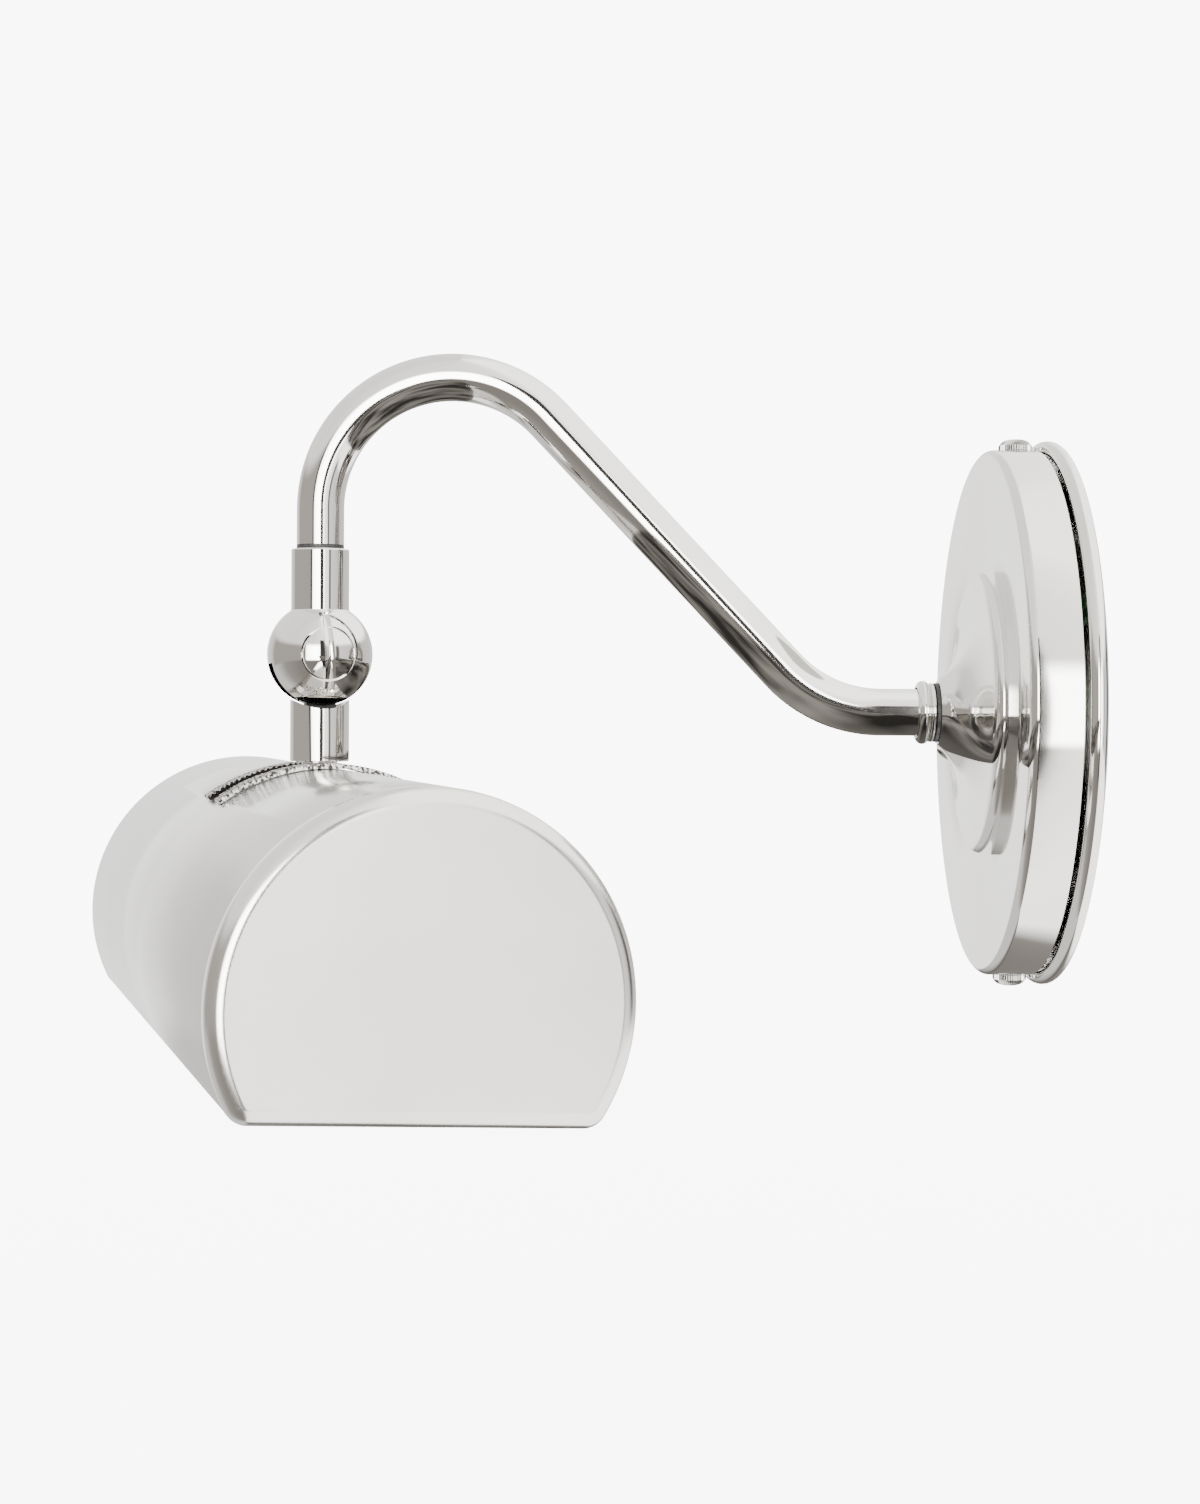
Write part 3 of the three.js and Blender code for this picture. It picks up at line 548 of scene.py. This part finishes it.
def makeCollar():
    look = collarLook
    base, top = look["low"], look["low"] + look["length"]
    large, small = look["length"] * look["bead"], look["length"] * look["step"]
    bore, ledge = armLook["radius"] + look["gap"], look["radius"] - look["stepDrop"]
    profile = [(bore, base), (ledge, base)]
    profile += arc(ledge - small * 0.2, base + small, small, -70, 78, 12)
    profile += arc(look["radius"] - large, top - large, large, -72, 88, 28)
    profile += [(bore + 0.15, top), (bore, top - 0.15)]
    collar = turnOnLathe("ringCollarBead", profile, 128)
    finishPiece(collar, "arm", nickelKnuckle, ["ring_collar"], wallPlace)


makeArmTube()
makeCollar()
print("arm made")


# ball knuckle

knuckleLook = {
    "ball": 14.0, "neck": 7.7, "neckTop": 28.0, "fillet": 0.5, "seat": 10.3, "head": 6.7, "headGap": 0.55,
    "grooveWidth": 2.9, "grooveDepth": 0.6, "grooveTurn": 3.8, "grooveFrom": -46, "grooveTo": 52,
    "grooveOut": 14.8, "grooveFlare": 0.35, "grooveLip": 0.02,
    "slotHalf": 3.4, "eye": 7.0, "tongueHalf": 4.6, "bore": 5.1, "boreDepth": 13.7,
    "shank": 2.5, "shankDepth": 1.6, "seatGap": 0.3, "cutReach": 16.0,
    "tiltTowardsWall": 40, "tiltFromWall": 60,
}


# a shallow flute down the side of the ball, across the screw's head
def grooveCutter():
    look = knuckleLook
    half = look["grooveWidth"] / 2
    low, high = look["grooveFrom"], look["grooveTo"]
    start = math.radians(low)
    flare = half + look["grooveFlare"]
    section = [(look["grooveOut"], flare), (look["grooveOut"], -flare)]
    for i in range(11):
        across = i / 5 - 1
        edge = across * across
        depth = look["grooveDepth"] * (1 - edge) - look["grooveLip"] * edge
        section.append((look["ball"] - depth, half * across))
    section.append(section[0])
    blade = walkAlong("grooveBlade", [(r * math.cos(start), y, r * math.sin(start)) for r, y in section])
    bpy.ops.mesh.spin(steps=48, angle=math.radians(high - low), center=(0, 0, 0), axis=(0, 1, 0))
    bpy.ops.mesh.select_all(action="SELECT")
    bpy.ops.mesh.remove_doubles(threshold=weldDistance)
    bpy.ops.mesh.select_all(action="SELECT")
    bpy.ops.mesh.fill_holes(sides=0)
    mergeAndFace()
    putInPlace(blade, Matrix.Rotation(math.radians(look["grooveTurn"]), 4, "X"))
    return blade


def makeBall():
    look = knuckleLook
    meet = math.degrees(math.acos(look["neck"] / look["ball"]))
    joinHeight = look["ball"] * math.sin(math.radians(meet))
    fillet = look["fillet"]
    profile = arc(0, 0, look["ball"], -90, meet - 1.2, 72)
    profile[0] = (0.0, -look["ball"])
    profile += [(look["neck"] + 0.06, joinHeight + 0.08), (look["neck"], joinHeight + fillet)]
    profile += arc(look["neck"] - fillet, look["neckTop"] - fillet, fillet, 0, 90, 6)
    boreEnd = look["neckTop"] - look["boreDepth"]
    profile += [(look["bore"], look["neckTop"]), (look["bore"], boreEnd), (0.0, boreEnd)]
    ball = turnOnLathe("ballKnuckleBody", profile, 144, False)
    sweep = rodAlong(look["eye"], -look["slotHalf"], look["slotHalf"])
    putInPlace(sweep, sideways)
    cutters = [sweep]
    steps = 5
    for i in range(steps + 1):
        lean = -look["tiltFromWall"] + (look["tiltTowardsWall"] + look["tiltFromWall"]) * i / steps
        half, slot = look["tongueHalf"], look["slotHalf"]
        tongueRoom = blockOf((-slot, slot), (-half, half), (-look["cutReach"], 0))
        putInPlace(tongueRoom, Matrix.Rotation(math.radians(lean), 4, "X"))
        cutters.append(tongueRoom)
    for side in (-1, 1):
        seat = rodAlong(look["head"] + look["headGap"], look["seat"] - look["seatGap"], look["cutReach"])
        putInPlace(seat, Matrix.Rotation(side * math.pi / 2, 4, "Y"))
        cutters.append(seat)
    cutWith(ball, *cutters, grooveCutter())
    finishPiece(ball, "knuckle", nickelKnuckle, ["ball_knuckle"], knucklePlace, 28)


# a slice of the same ball, so that the head carries the curve on
def makePivotHead(name, node, grooved, turn):
    look = knuckleLook
    outline = math.degrees(math.asin(look["head"] / look["ball"]))
    dome = [(look["ball"] * math.sin(math.radians(a)), look["ball"] * math.cos(math.radians(a)))
            for a in [outline * (1 - i / 24) - 0.4 * (i == 0) for i in range(25)]]
    dome[-1] = (0.0, look["ball"])
    seat, shank = look["seat"], look["shank"]
    end = seat - look["shankDepth"]
    profile = [(0.0, end), (shank, end), (shank, seat), (look["head"], seat)]
    profile += [(look["head"], dome[0][1] - 0.12)] + dome
    head = turnOnLathe(name, profile, 128, False)
    putInPlace(head, sideways)
    if grooved:
        cutWith(head, grooveCutter())
    place = knucklePlace @ Matrix.Rotation(turn, 4, "Z")
    finishPiece(head, "knuckle", nickelKnuckle, [node], place, 28)


swivelWasherLook = {"bore": 5.1, "outer": 6.3, "low": 28.08, "high": 29.02}

makeBall()
makePivotHead("pivotScrewHead", "pivot_screw", True, 0)
makePivotHead("pivotNutHead", "pivot_nut", False, math.pi)
makeWasher("swivelWasherRing", "swivel_washer", "knuckle", knucklePlace, swivelWasherLook)
print("knuckle made")


# stem, with its top hollowed to clear the ball

stemLook = {
    "radius": 7.85, "wall": 1.3, "bottom": -28.4, "top": -9.8, "saddle": 14.4, "saddleHalf": 12, "rim": 0.25,
}


def makeStem():
    look = stemLook
    inner, outer, rim = look["radius"] - look["wall"], look["radius"], look["rim"]
    profile = [(inner, look["bottom"]), (outer - rim, look["bottom"]), (outer, look["bottom"] + rim)]
    profile += [(outer, look["top"]), (inner, look["top"])]
    stem = turnOnLathe("stemSleeve", profile, 144)
    saddle = rodAlong(look["saddle"], -look["saddleHalf"], look["saddleHalf"], 256)
    putInPlace(saddle, sideways)
    cutWith(stem, saddle)
    softenEdges(stem, 0.22, 3, 50)
    finishPiece(stem, "head", nickelStem, ["stem"], knucklePlace)


makeStem()
print("stem made")


# shade: a rolled shell with a slot, two pressed ends and two toothed strips

shadeLook = {
    "radius": 48.0, "wall": 1.2, "half": 121.0, "capCut": 26.0, "edgeSetback": 2.5,
    "slotHalf": 5.3, "slotAngle": 38, "capBack": 121.0, "capFront": 127.0, "capEdge": 4.2, "corner": 5.5,
    "capLip": 0.3, "capHollow": 1.4,
}


def spunAbout(steps, angle):
    bpy.ops.mesh.spin(steps=steps, angle=-math.radians(angle), center=(0, 0, 0), axis=(1, 0, 0))


# the near half's pieces are turned round for the far half
def shadeEnd(side):
    return shadePlace @ Matrix.Rotation(0 if side > 0 else math.pi, 4, "Z")


def makeShell():
    look = shadeLook
    droop = math.degrees(math.asin((look["capCut"] - look["edgeSetback"]) / look["radius"]))
    start = math.radians(-droop)
    around = look["radius"] * Vector((0, math.cos(start), math.sin(start)))
    first = (Vector((-look["half"], 0, 0)) + around) * mm
    shell = startPoint("shadeShellRolled", first)
    for step in (look["half"] - look["slotHalf"], 2 * look["slotHalf"], look["half"] - look["slotHalf"]):
        extrudeBy((step * mm, 0, 0))
    bpy.ops.mesh.select_all(action="SELECT")
    spunAbout(240, 180 + 2 * droop)
    mergeAndFace()
    high = look["radius"] * math.cos(math.radians(look["slotAngle"])) * mm
    pickFaces(shell, lambda face: abs(face.calc_center_median().x) < look["slotHalf"] * mm
              and face.calc_center_median().z > high)
    bpy.ops.mesh.delete(type="FACE")
    deselectAll()
    addModifier(shell, "SOLIDIFY", thickness=look["wall"] * mm, offset=-1)
    softenEdges(shell, 0.08, 2, 50)
    finishPiece(shell, "shade", nickelShade, ["shade_shell"], shadePlace)


def makeEndCap(name, node, side):
    look = shadeLook
    corner, low = look["corner"], -look["capCut"]
    away = math.sqrt((look["radius"] - corner) ** 2 - (low + corner) ** 2)
    dip = math.degrees(math.atan2(-low - corner, away))
    outline = arc(0, 0, look["radius"], -dip, 180 + dip, 240)
    outline += arc(-away, low + corner, corner, 180 + dip, 270, 12)[1:]
    outline += arc(away, low + corner, corner, -90, -dip, 12)
    cap = walkAlong(name, [(look["capBack"], y, z) for y, z in outline])
    bpy.ops.mesh.edge_face_add()
    thickness = (look["capFront"] - look["capBack"]) * mm
    extrudeBy((thickness, 0, 0))
    bpy.ops.mesh.select_all(action="SELECT")
    bpy.ops.mesh.normals_make_consistent(inside=False)
    front = look["capFront"] * mm
    pickEdges(cap, lambda a, b: a.x > front - hair and b.x > front - hair)
    bpy.ops.mesh.bevel(affect="EDGES", offset=look["capEdge"] * mm, segments=12, profile=0.5)
    back = look["capBack"] * mm + hair
    pickFaces(cap, lambda face: face.normal.x < -0.9 and face.calc_center_median().x < back)
    bpy.ops.mesh.inset(thickness=(look["wall"] + look["capLip"]) * mm)
    extrudeBy((look["capHollow"] * mm, 0, 0))
    deselectAll()
    # the far cap takes the shell's darker, painted-shade copy of the nickel, the near cap the plain one
    capNickel = nickelCap if side > 0 else nickelShade
    finishPiece(cap, "shade", capNickel, [node], shadeEnd(side), 40)
    addModifier(cap, "WEIGHTED_NORMAL", keep_sharp=True, weight=60)


trackLook = {
    "inner": 48.3, "outer": 49.6, "depth": 0.6, "half": 39, "gap": 5.6, "width": 7.5, "pitch": 1.5, "rows": 5,
}


def makeTrack(name, node, side):
    look = trackLook
    start = math.radians(90 - look["half"])
    cell = look["width"] / (2 * look["rows"])
    section = [(look["gap"] + cell * i, look["outer"]) for i in range(2 * look["rows"] + 1)]
    section += [(look["gap"] + look["width"], look["inner"]), (look["gap"], look["inner"]), section[0]]
    track = walkAlong(name, [(x, r * math.cos(start), r * math.sin(start)) for x, r in section])
    columns = 2 * round(math.radians(2 * look["half"]) * look["outer"] / look["pitch"])
    spunAbout(columns, 2 * look["half"])
    bpy.ops.mesh.select_all(action="SELECT")
    bpy.ops.mesh.remove_doubles(threshold=weldDistance)
    bpy.ops.mesh.select_all(action="SELECT")
    bpy.ops.mesh.fill_holes(sides=0)
    mergeAndFace()
    step = math.radians(2 * look["half"]) / columns

    def isLow(co):
        column = round((math.atan2(co.z, co.y) - start) / step)
        row = round((co.x / mm - look["gap"]) / cell)
        return math.hypot(co.y, co.z) > (look["outer"] - 0.1) * mm and (column + row) % 2

    pickVerts(track, isLow)
    shrink = 1 - look["depth"] / look["outer"]
    bpy.ops.transform.resize(value=(1, shrink, shrink), center_override=(0, 0, 0))
    deselectAll()
    finishPiece(track, "shade", nickelTrack, [node], shadeEnd(side), 20)


makeShell()
makeEndCap("endCapNearPressed", "end_cap_near", 1)
makeEndCap("endCapFarPressed", "end_cap_far", -1)
makeTrack("trackNearToothed", "track_near", 1)
makeTrack("trackFarToothed", "track_far", -1)
print("shade made")


# lamp holder inside the shade

holderLook = {
    "axis": 7.0, "back": 103.7, "length": 42.0, "radius": 17.0, "wall": 0.8,
    "insulator": 15.9, "insulatorWall": 1.6, "insulatorBack": 102.6, "floor": 8.0,
    "shell": 13.7, "shellWall": 0.5, "shellLength": 26.0, "turns": 6, "threadDepth": 0.3, "hole": 2.35,
}
holderAxis = holderPlace @ Matrix.Translation((0, 0, holderLook["axis"] * mm)) @ sideways


def makeHolder():
    look = holderLook
    mouth = look["back"] - look["length"]
    outer, inner = look["radius"], look["radius"] - look["wall"]
    cup = [(look["hole"], look["back"])] + arc(outer - 2, look["back"] - 2, 2, 90, 0, 8)
    cup += [(outer, mouth + 0.5)] + arc(outer - look["wall"] / 2, mouth + 0.4, look["wall"] / 2, 0, -180, 6)
    cup += arc(inner - 1.2, look["back"] - look["wall"] - 1.2, 1.2, 0, 90, 6)
    cup += [(look["hole"], look["back"] - look["wall"])]
    piece = turnOnLathe("socketCupDrawn", cup, 128)
    finishPiece(piece, "head", satinNickel, ["socket_cup"], holderAxis)
    back, wall = look["insulatorBack"], look["insulatorWall"]
    body = [(look["hole"], back), (look["insulator"] - 0.6, back), (look["insulator"], back - 0.6)]
    body += arc(look["insulator"] - wall / 2, mouth + 1 + wall / 2, wall / 2, 0, -180, 10)
    body += [(look["insulator"] - wall, back - look["floor"]), (look["hole"], back - look["floor"])]
    piece = turnOnLathe("socketInsulatorGlazed", body, 128)
    finishPiece(piece, "head", glazedPorcelain, ["socket_insulator"], holderAxis)
    start = back - look["floor"] - 0.3 - look["shellLength"]
    pitch = look["shellLength"] / look["turns"]
    thread = []
    for i in range(17):
        wave = look["threadDepth"] * math.cos(math.pi * i / 8)
        thread.append((look["shell"] - 0.32 + wave, start + pitch * i / 16))
    whole = []
    for turn in range(look["turns"]):
        whole += [(r, h + pitch * turn) for r, h in (thread if turn == 0 else thread[1:])]
    whole += [(r - look["shellWall"], h) for r, h in reversed(whole)]
    piece = turnOnLathe("socketThreadRolled", whole, 96)
    finishPiece(piece, "head", turnedBrass, ["socket_screw_shell"], holderAxis)


bracketLook = {
    "half": 7.0, "reach": 104.0, "thickness": 1.7, "low": -2.0, "bend": 2.2, "hole": 5.1, "screwHole": 2.35,
}


def makeBracket():
    look = bracketLook
    top = (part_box("socket_bracket")[1].z - holderPlace.translation.z) / mm
    strip = startPoint("socketBracketFolded", (-look["half"] * mm, -look["half"] * mm, top * mm))
    extrudeBy((0, 2 * look["half"] * mm, 0))
    bpy.ops.mesh.select_all(action="SELECT")
    outer = look["reach"] + look["thickness"]
    run = outer - look["bend"] + look["half"]
    extrudeBy((run * mm, 0, 0))
    centre = ((outer - look["bend"]) * mm, 0, (top - look["bend"]) * mm)
    bpy.ops.mesh.spin(steps=10, angle=-math.pi / 2, center=centre, axis=(0, 1, 0))
    fall = (top - look["bend"] - look["low"]) * mm
    extrudeBy((0, 0, -fall))
    mergeAndFace()
    pickFaces(strip, lambda face: True)
    mesh = bmesh.from_edit_mesh(strip.data)
    upper = max(mesh.faces, key=lambda face: face.calc_center_median().z)
    if upper.normal.z < 0:
        bpy.ops.mesh.flip_normals()
    deselectAll()
    addModifier(strip, "SOLIDIFY", thickness=look["thickness"] * mm, offset=-1)
    nippleHole = rodAlong(look["hole"], 20, 60, 64)
    screwHole = rodAlong(look["screwHole"], 90, 120, 48)
    putInPlace(screwHole, Matrix.Translation((0, 0, holderLook["axis"] * mm)) @ sideways)
    cutWith(strip, nippleHole, screwHole)
    softenEdges(strip, 0.25, 2, 50)
    finishPiece(strip, "head", zincSteel, ["socket_bracket"], holderPlace)


nutLook = {
    "flats": 15.0, "bore": 5.1, "rounding": [(8.4, -3), (12, -3), (12, 3), (8.4, 3), (8.9, 1.6), (8.9, -1.6)],
}


def makeNut(name, node):
    look = nutLook
    low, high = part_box(node)
    middle = (low + high) / 2
    deselectAll()
    across = look["flats"] / math.sqrt(3) * mm
    bpy.ops.mesh.primitive_cylinder_add(vertices=6, radius=across, depth=high.z - low.z)
    nut = named(name)
    deselectAll()
    cutWith(nut, rodAlong(look["bore"], -10, 10, 64))
    rounding = turnOnLathe("nutRounding", look["rounding"], 96)
    cutWith(nut, rounding)
    softenEdges(nut, 0.2, 2, 40)
    place = Matrix.Translation(middle) @ Matrix.Rotation(yaw + math.pi / 6, 4, "Z")
    finishPiece(nut, "head", zincSteel, [node], place)


makeHolder()
makeBracket()
makeNut("upperNutHex", "upper_nut")
makeNut("lowerNutHex", "lower_nut")
print("lamp holder made")


# materials for the imported parts that stay as they are; the tongue's near-black steel is painted shade

keptMaterials = {
    "mounting_strap": zincSteel, "box_screw_top": zincSteel, "box_screw_bottom": zincSteel,
    "ground_screw": greenSteel, "boss_nipple": turnedBrass, "boss_lock_washer": zincSteel,
    "boss_nut": zincSteel, "tube_end_bush": turnedBrass, "friction_washer_near": blackNylon,
    "friction_washer_far": blackNylon, "tongue": paintedShadeSteel, "shade_nipple": satinNickel,
    "saddle_washer": zincSteel, "centre_contact": turnedBrass, "socket_screw": zincSteel,
}
for node, material in keptMaterials.items():
    part = frame["nodes"][node]
    part.data.materials.clear()
    part.data.materials.append(material)


# studio: glowing floor, surround of light and dark bands, two cards that only reflections see, camera

stageLook = {
    "backdrop": 9.2, "floorDrop": 0.45, "floorRadius": 4.0, "floorGlow": 6.2, "fade": (1.2, 3.6),
    "underfoot": (-0.26, -0.18), "overhead": (0.24, 0.4),
    "cameraPlace": (0.6147, -0.1307, 0.0033), "lens": 55.05, "turn": 1.03, "down": 1.35, "roll": 0.42,
}


def makeFloor():
    deselectAll()
    bpy.ops.mesh.primitive_circle_add(
        vertices=96, radius=stageLook["floorRadius"], fill_type="NGON",
        location=(0, 0, -stageLook["floorDrop"]),
    )
    floor = bpy.context.active_object
    floor.name = "paleFloor"
    material, tree, shader = plainMaterial("paleFloor", Roughness=0.9, **{
        "Base Color": (0.85, 0.85, 0.85, 1), "Specular IOR Level": 0,
        "Emission Color": (1, 1, 1, 1), "Emission Strength": stageLook["floorGlow"],
    })
    place = addNode(tree, "ShaderNodeTexCoord")
    away = addNode(tree, "ShaderNodeVectorMath", operation="LENGTH")
    near, far = stageLook["fade"]
    span = {"From Min": near, "From Max": far, "To Min": 1.0, "To Max": 0.0}
    fade = addNode(tree, "ShaderNodeMapRange", **span)
    tree.links.new(place.outputs["Object"], away.inputs[0])
    tree.links.new(away.outputs["Value"], fade.inputs["Value"])
    tree.links.new(fade.outputs["Result"], shader.inputs["Alpha"])
    floor.data.materials.append(material)
    floor.visible_glossy = False


# degrees round from the side that the camera is on, towards the wall, and how bright it is there
aroundStops = [
    (-180, 2.2), (-160, 2.4), (-142, 1.35), (-124, 1.2), (-112, 0.6), (-34, 0.6), (-31, 0.1), (-26, 0.1),
    (-22, 11.0), (-8, 16.0), (6, 16.0), (20, 9.0), (26, 3.1), (38, 3.0), (42, 0.25), (47, 0.2),
    (50, 1.5), (80, 1.2), (88, 0.12), (104, 0.1), (112, 1.1), (180, 1.3),
]
overheadStops = [(-180, 1.8), (-60, 1.7), (-10, 2.0), (14, 2.6), (30, 3.8), (150, 3.6), (180, 2.2)]
underfootStops = [
    (-180, 0.2), (-162, 1.1), (-110, 1.1), (-80, 0.5), (-40, 0.35), (9, 0.3), (11.5, 3.0), (26, 3.6),
    (140, 3.4), (156, 0.4), (180, 0.2),
]


def setStops(node, stops):
    elements = node.color_ramp.elements
    for index, (at, level) in enumerate(stops):
        position = (at / 180 + 1) / 2
        element = elements[index] if index < 2 else elements.new(position)
        element.position = position
        warm = 0.86 if level < 1 else 0.975
        element.color = (level, level * (1 + warm) / 2, level * warm, 1)


def makeSurround():
    world = bpy.data.worlds.new("tent")
    bpy.context.scene.world = world
    world.use_nodes = True
    tree = world.node_tree
    tree.nodes.clear()
    place = addNode(tree, "ShaderNodeTexCoord")
    parts = addNode(tree, "ShaderNodeSeparateXYZ")
    tree.links.new(place.outputs["Generated"], parts.inputs["Vector"])
    heading = addNode(tree, "ShaderNodeMath", operation="ARCTAN2")
    tree.links.new(parts.outputs["Y"], heading.inputs[0])
    tree.links.new(parts.outputs["X"], heading.inputs[1])
    share = addNode(tree, "ShaderNodeMapRange", **{"From Min": -math.pi, "From Max": math.pi})
    tree.links.new(heading.outputs["Value"], share.inputs["Value"])

    def ringOf(stops):
        ring = addNode(tree, "ShaderNodeValToRGB")
        setStops(ring, stops)
        tree.links.new(share.outputs["Result"], ring.inputs["Fac"])
        return ring.outputs["Color"]

    def blended(below, above, low, high):
        span = {"From Min": low, "From Max": high}
        factor = addNode(tree, "ShaderNodeMapRange", interpolation_type="SMOOTHSTEP", **span)
        tree.links.new(parts.outputs["Z"], factor.inputs["Value"])
        mix = addNode(tree, "ShaderNodeMix", data_type="RGBA")
        tree.links.new(factor.outputs["Result"], mix.inputs[0])
        tree.links.new(below, mix.inputs[6])
        tree.links.new(above, mix.inputs[7])
        return mix.outputs[2]

    lower = blended(ringOf(underfootStops), ringOf(aroundStops), *stageLook["underfoot"])
    whole = blended(lower, ringOf(overheadStops), *stageLook["overhead"])
    reflected = addNode(tree, "ShaderNodeBackground", Strength=1.0)
    tree.links.new(whole, reflected.inputs["Color"])
    seen = addNode(tree, "ShaderNodeBackground", Strength=stageLook["backdrop"])
    rays = addNode(tree, "ShaderNodeLightPath")
    either = addNode(tree, "ShaderNodeMixShader")
    output = addNode(tree, "ShaderNodeOutputWorld")
    seen.inputs["Color"].default_value = (1, 1, 1, 1)
    tree.links.new(rays.outputs["Is Camera Ray"], either.inputs[0])
    tree.links.new(reflected.outputs[0], either.inputs[1])
    tree.links.new(seen.outputs[0], either.inputs[2])
    tree.links.new(either.outputs[0], output.inputs["Surface"])


# middle, turn, size, level, one-sided; a one-sided card is clear from behind
cards = {
    "darkCard": ((1.0, 0.028, 0.05), (0, -math.pi / 2, 0), (1.1, 0.234), 0.04, False),
    "lowCard": ((0.1, -0.104, -0.014), (0, 0, 0), (0.6, 0.148), 0.5, True),
}


def makeCard(name, middle, turn, size, level, oneSided):
    deselectAll()
    bpy.ops.mesh.primitive_plane_add(size=1, location=middle, rotation=turn)
    card = bpy.context.active_object
    card.name = name
    card.scale = (*size, 1)
    material, tree, shader = plainMaterial(name, Roughness=1.0, **{
        "Base Color": (0.01, 0.01, 0.01, 1), "Specular IOR Level": 0,
        "Emission Color": (1, 0.9, 0.8, 1), "Emission Strength": level,
    })
    if oneSided:
        surface = addNode(tree, "ShaderNodeNewGeometry")
        front = addNode(tree, "ShaderNodeMath", operation="SUBTRACT")
        front.inputs[0].default_value = 1
        tree.links.new(surface.outputs["Backfacing"], front.inputs[1])
        tree.links.new(front.outputs["Value"], shader.inputs["Alpha"])
        streaks = stretchedNoise(tree, 9, stretch=(1, 0.35, 1), detail=2)
        browns = ramp(tree, streaks, (0.04, 0.035, 0.03), (0.75, 0.7, 0.64), 0.4, 0.62)
        tree.links.new(browns, shader.inputs["Emission Color"])
    card.data.materials.append(material)
    card.visible_camera = False
    card.visible_diffuse = False


def makeCamera():
    camera = bpy.data.objects.new("camera", bpy.data.cameras.new("camera"))
    bpy.context.scene.collection.objects.link(camera)
    camera.data.lens = stageLook["lens"]
    camera.data.sensor_width = 36
    camera.data.clip_start = 0.01
    heading = Matrix.Rotation(math.radians(90 - stageLook["turn"]), 4, "Z")
    tilt = Matrix.Rotation(math.radians(90 - stageLook["down"]), 4, "X")
    roll = Matrix.Rotation(math.radians(stageLook["roll"]), 4, "Z")
    camera.matrix_world = Matrix.Translation(stageLook["cameraPlace"]) @ heading @ tilt @ roll
    bpy.context.scene.camera = camera


makeFloor()
makeSurround()
for name, values in cards.items():
    makeCard(name, *values)
makeCamera()
print("studio made")

deselectAll()
